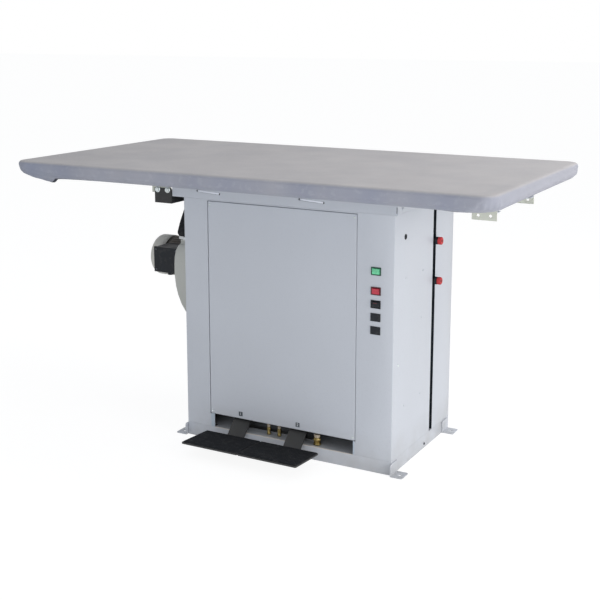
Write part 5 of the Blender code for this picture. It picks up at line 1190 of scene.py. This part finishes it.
def build_motor():
    """The fan motor: flange, finned body, end shield and slotted cowl."""
    fins_start, fins_end = MOTOR_HIGH.x - FLANGE, MOTOR_LOW.x + SHIELD
    length = fins_start - fins_end
    root, crest = 0.0642, 0.0699
    body = prism(root, 0.0, length, 108)
    walls = [f for f in body.faces if len(f.verts) == 4]
    walls.sort(key=lambda f: math.atan2(f.calc_center_median().y, f.calc_center_median().x))
    raised = bmesh.ops.extrude_discrete_faces(body, faces=walls[::3])["faces"]
    for f in raised:
        centre = f.calc_center_median()
        out = Vector((centre.x, centre.y, 0.0)).normalized()
        bmesh.ops.translate(body, vec=out * (crest - root), verts=f.verts)
    shape = placed(body, along_axis(fins_start))
    outer = (MOTOR_HIGH.z - MOTOR_LOW.z) / 2
    flange = [(0.0, 0.0), (outer - 0.0006, 0.0), (outer, 0.0006), (outer, FLANGE - 0.0012)]
    flange += [(outer - 0.0012, FLANGE), (0.0, FLANGE)]
    add_shape(shape, turned(flange, 72), along_axis(MOTOR_HIGH.x))
    rim = 0.0686
    neck = [(0.0, 0.0), (0.062, 0.0), (0.062, 0.012), (rim - 0.001, 0.0122), (rim, 0.0132)]
    neck += [(rim, 0.0208), (rim - 0.0013, 0.022), (0.03, 0.022), (0.012, 0.0205), (0.0, 0.0205)]
    add_shape(shape, turned(neck, 72), along_axis(fins_end))
    made = piece("motor_finned", shape, "motor_grey")
    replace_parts(made, "motor_body")
    fasteners("motor_bolts", screw_ring(fins_start, 0.0722, 4, 45.0), make=bolt_shape)
    build_cowl()


def build_cowl():
    """The cowl over the motor's cooling fan, with radial slots in its end."""
    depth = COWL_HIGH.x - COWL_LOW.x
    outer = (COWL_HIGH.z - COWL_LOW.z) / 2
    soft = 0.017
    profile = [(outer, 0.0), (outer, depth * 0.4), (outer, depth - soft)]
    for degrees in (15, 30, 45, 60, 75, 90):
        a = math.radians(degrees)
        profile.append((outer - soft + soft * math.cos(a), depth - soft + soft * math.sin(a)))
    sunk = ((0.048, 0.0), (0.043, 0.0004), (0.036, 0.0008), (0.029, 0.0012), (0.022, 0.0014))
    profile += [(radius, depth - sink) for radius, sink in sunk]
    profile += [(0.014, depth - 0.0014), (0.012, depth - 0.003), (0.0, depth - 0.003)]
    steps = 96
    cowl = turned(profile, steps)
    slots = []
    for f in cowl.faces:
        centre = f.calc_center_median()
        out = math.hypot(centre.x, centre.y)
        part = int((math.atan2(centre.y, centre.x) % math.tau) / math.tau * steps) % 6
        if 0.022 < out < 0.048 and part < 3 and not 0.0355 < out < 0.0365:
            slots.append(f)
    bmesh.ops.delete(cowl, geom=slots, context="FACES")
    shape = placed(cowl, along_axis(COWL_HIGH.x))
    made = piece("cowl_slotted", shape, "motor_grey", "cowl_paint", sharp=30.0)
    thick = made.modifiers.new("sheet_thickness", "SOLIDIFY")
    thick.thickness = 0.0018
    thick.offset = -1.0
    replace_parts(made, "motor_cowl")


def build_terminal_box():
    """The motor's terminal box, its screws and a blanked cable gland."""
    eased("terminal_box", 0.0016, 3)
    low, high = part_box("terminal_box")
    xs, zs = (low.x + 0.009, high.x - 0.009), (low.z + 0.009, high.z - 0.009)
    spots = spots_at(xs, (low.y,), zs, FRONT)
    fasteners("terminal_screws", spots, 0.0032, finish="blackened")
    gland = [(0.0, 0.0), (0.0105, 0.0), (0.0105, 0.004), (0.0088, 0.005), (0.0088, 0.0095)]
    gland += [(0.0074, 0.0115), (0.0045, 0.012), (0.0, 0.012)]
    place = facing(((low.x + high.x) / 2, low.y + 0.024, low.z), DOWN)
    piece("terminal_gland", placed(turned(gland, 12), place), "black_plastic")


def build_boot():
    """The rubber boot, its outer wall bellied a little between the fan's neck and the spigot."""
    low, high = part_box("blower_boot")
    middle = (low.x + high.x) / 2
    shape = merged_copy("blower_boot")
    for i in range(1, 12):
        cut_across(shape, (0, 0, low.z + (high.z - low.z) * i / 12), UP)
    for v in shape.verts:
        belly = math.sin(math.pi * (v.co.z - low.z) / (high.z - low.z))
        outward = held((middle - v.co.x) / (middle - low.x) * 1.6)
        v.co.x -= BOOT_BELLY * belly * outward
    made = piece("blower_boot_bellied", shape, "black_rubber", sharp=35.0)
    round_edges(made, 0.0008, 2, 35.0)
    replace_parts(made, "blower_boot")


def build_blower():
    """The fan's scroll with its screws, the rubber boot, the clamp round it and the motor."""
    scroll = eased("blower_scroll", 0.0012, 3, sharp=30.0)
    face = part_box("blower_scroll")[0].x
    for v in scroll.data.vertices:
        away = math.hypot(v.co.y - FAN_Y, v.co.z - FAN_Z)
        rim = held((away - 0.1) / 0.01) * held((0.64 - v.co.z) / 0.03)
        if v.co.x < face + 0.02:
            v.co.x -= SCROLL_RIM * rim
    build_boot()
    eased("boot_clamp", 0.0003)
    low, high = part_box("boot_clamp")
    x, _, z = middle_of(low, high)
    fasteners("clamp_screw", [((x, low.y, z), FRONT)], 0.0042)
    fasteners("scroll_screws", screw_ring(face, 0.098, 10, 18.0))
    build_motor()
    build_terminal_box()


# Hidden metal


def paint_nodes():
    """Gives every CAD node that still shows the finish of its slot."""
    for node, made in NODES.items():
        if made.hide_render:
            continue
        made.data.materials.clear()
        made.data.materials.append(FINISHES[SLOT_OF[node]])


set_camera()
build_studio()
build_pad()
build_cover()
build_sheet_metal()
build_panel_fittings()
build_slot_trim()
build_opening_trim()
build_rear_fittings()
build_tray()
build_top_fittings()
build_switches()
build_pedals()
build_unions()
build_knobs()
build_blower()
paint_nodes()
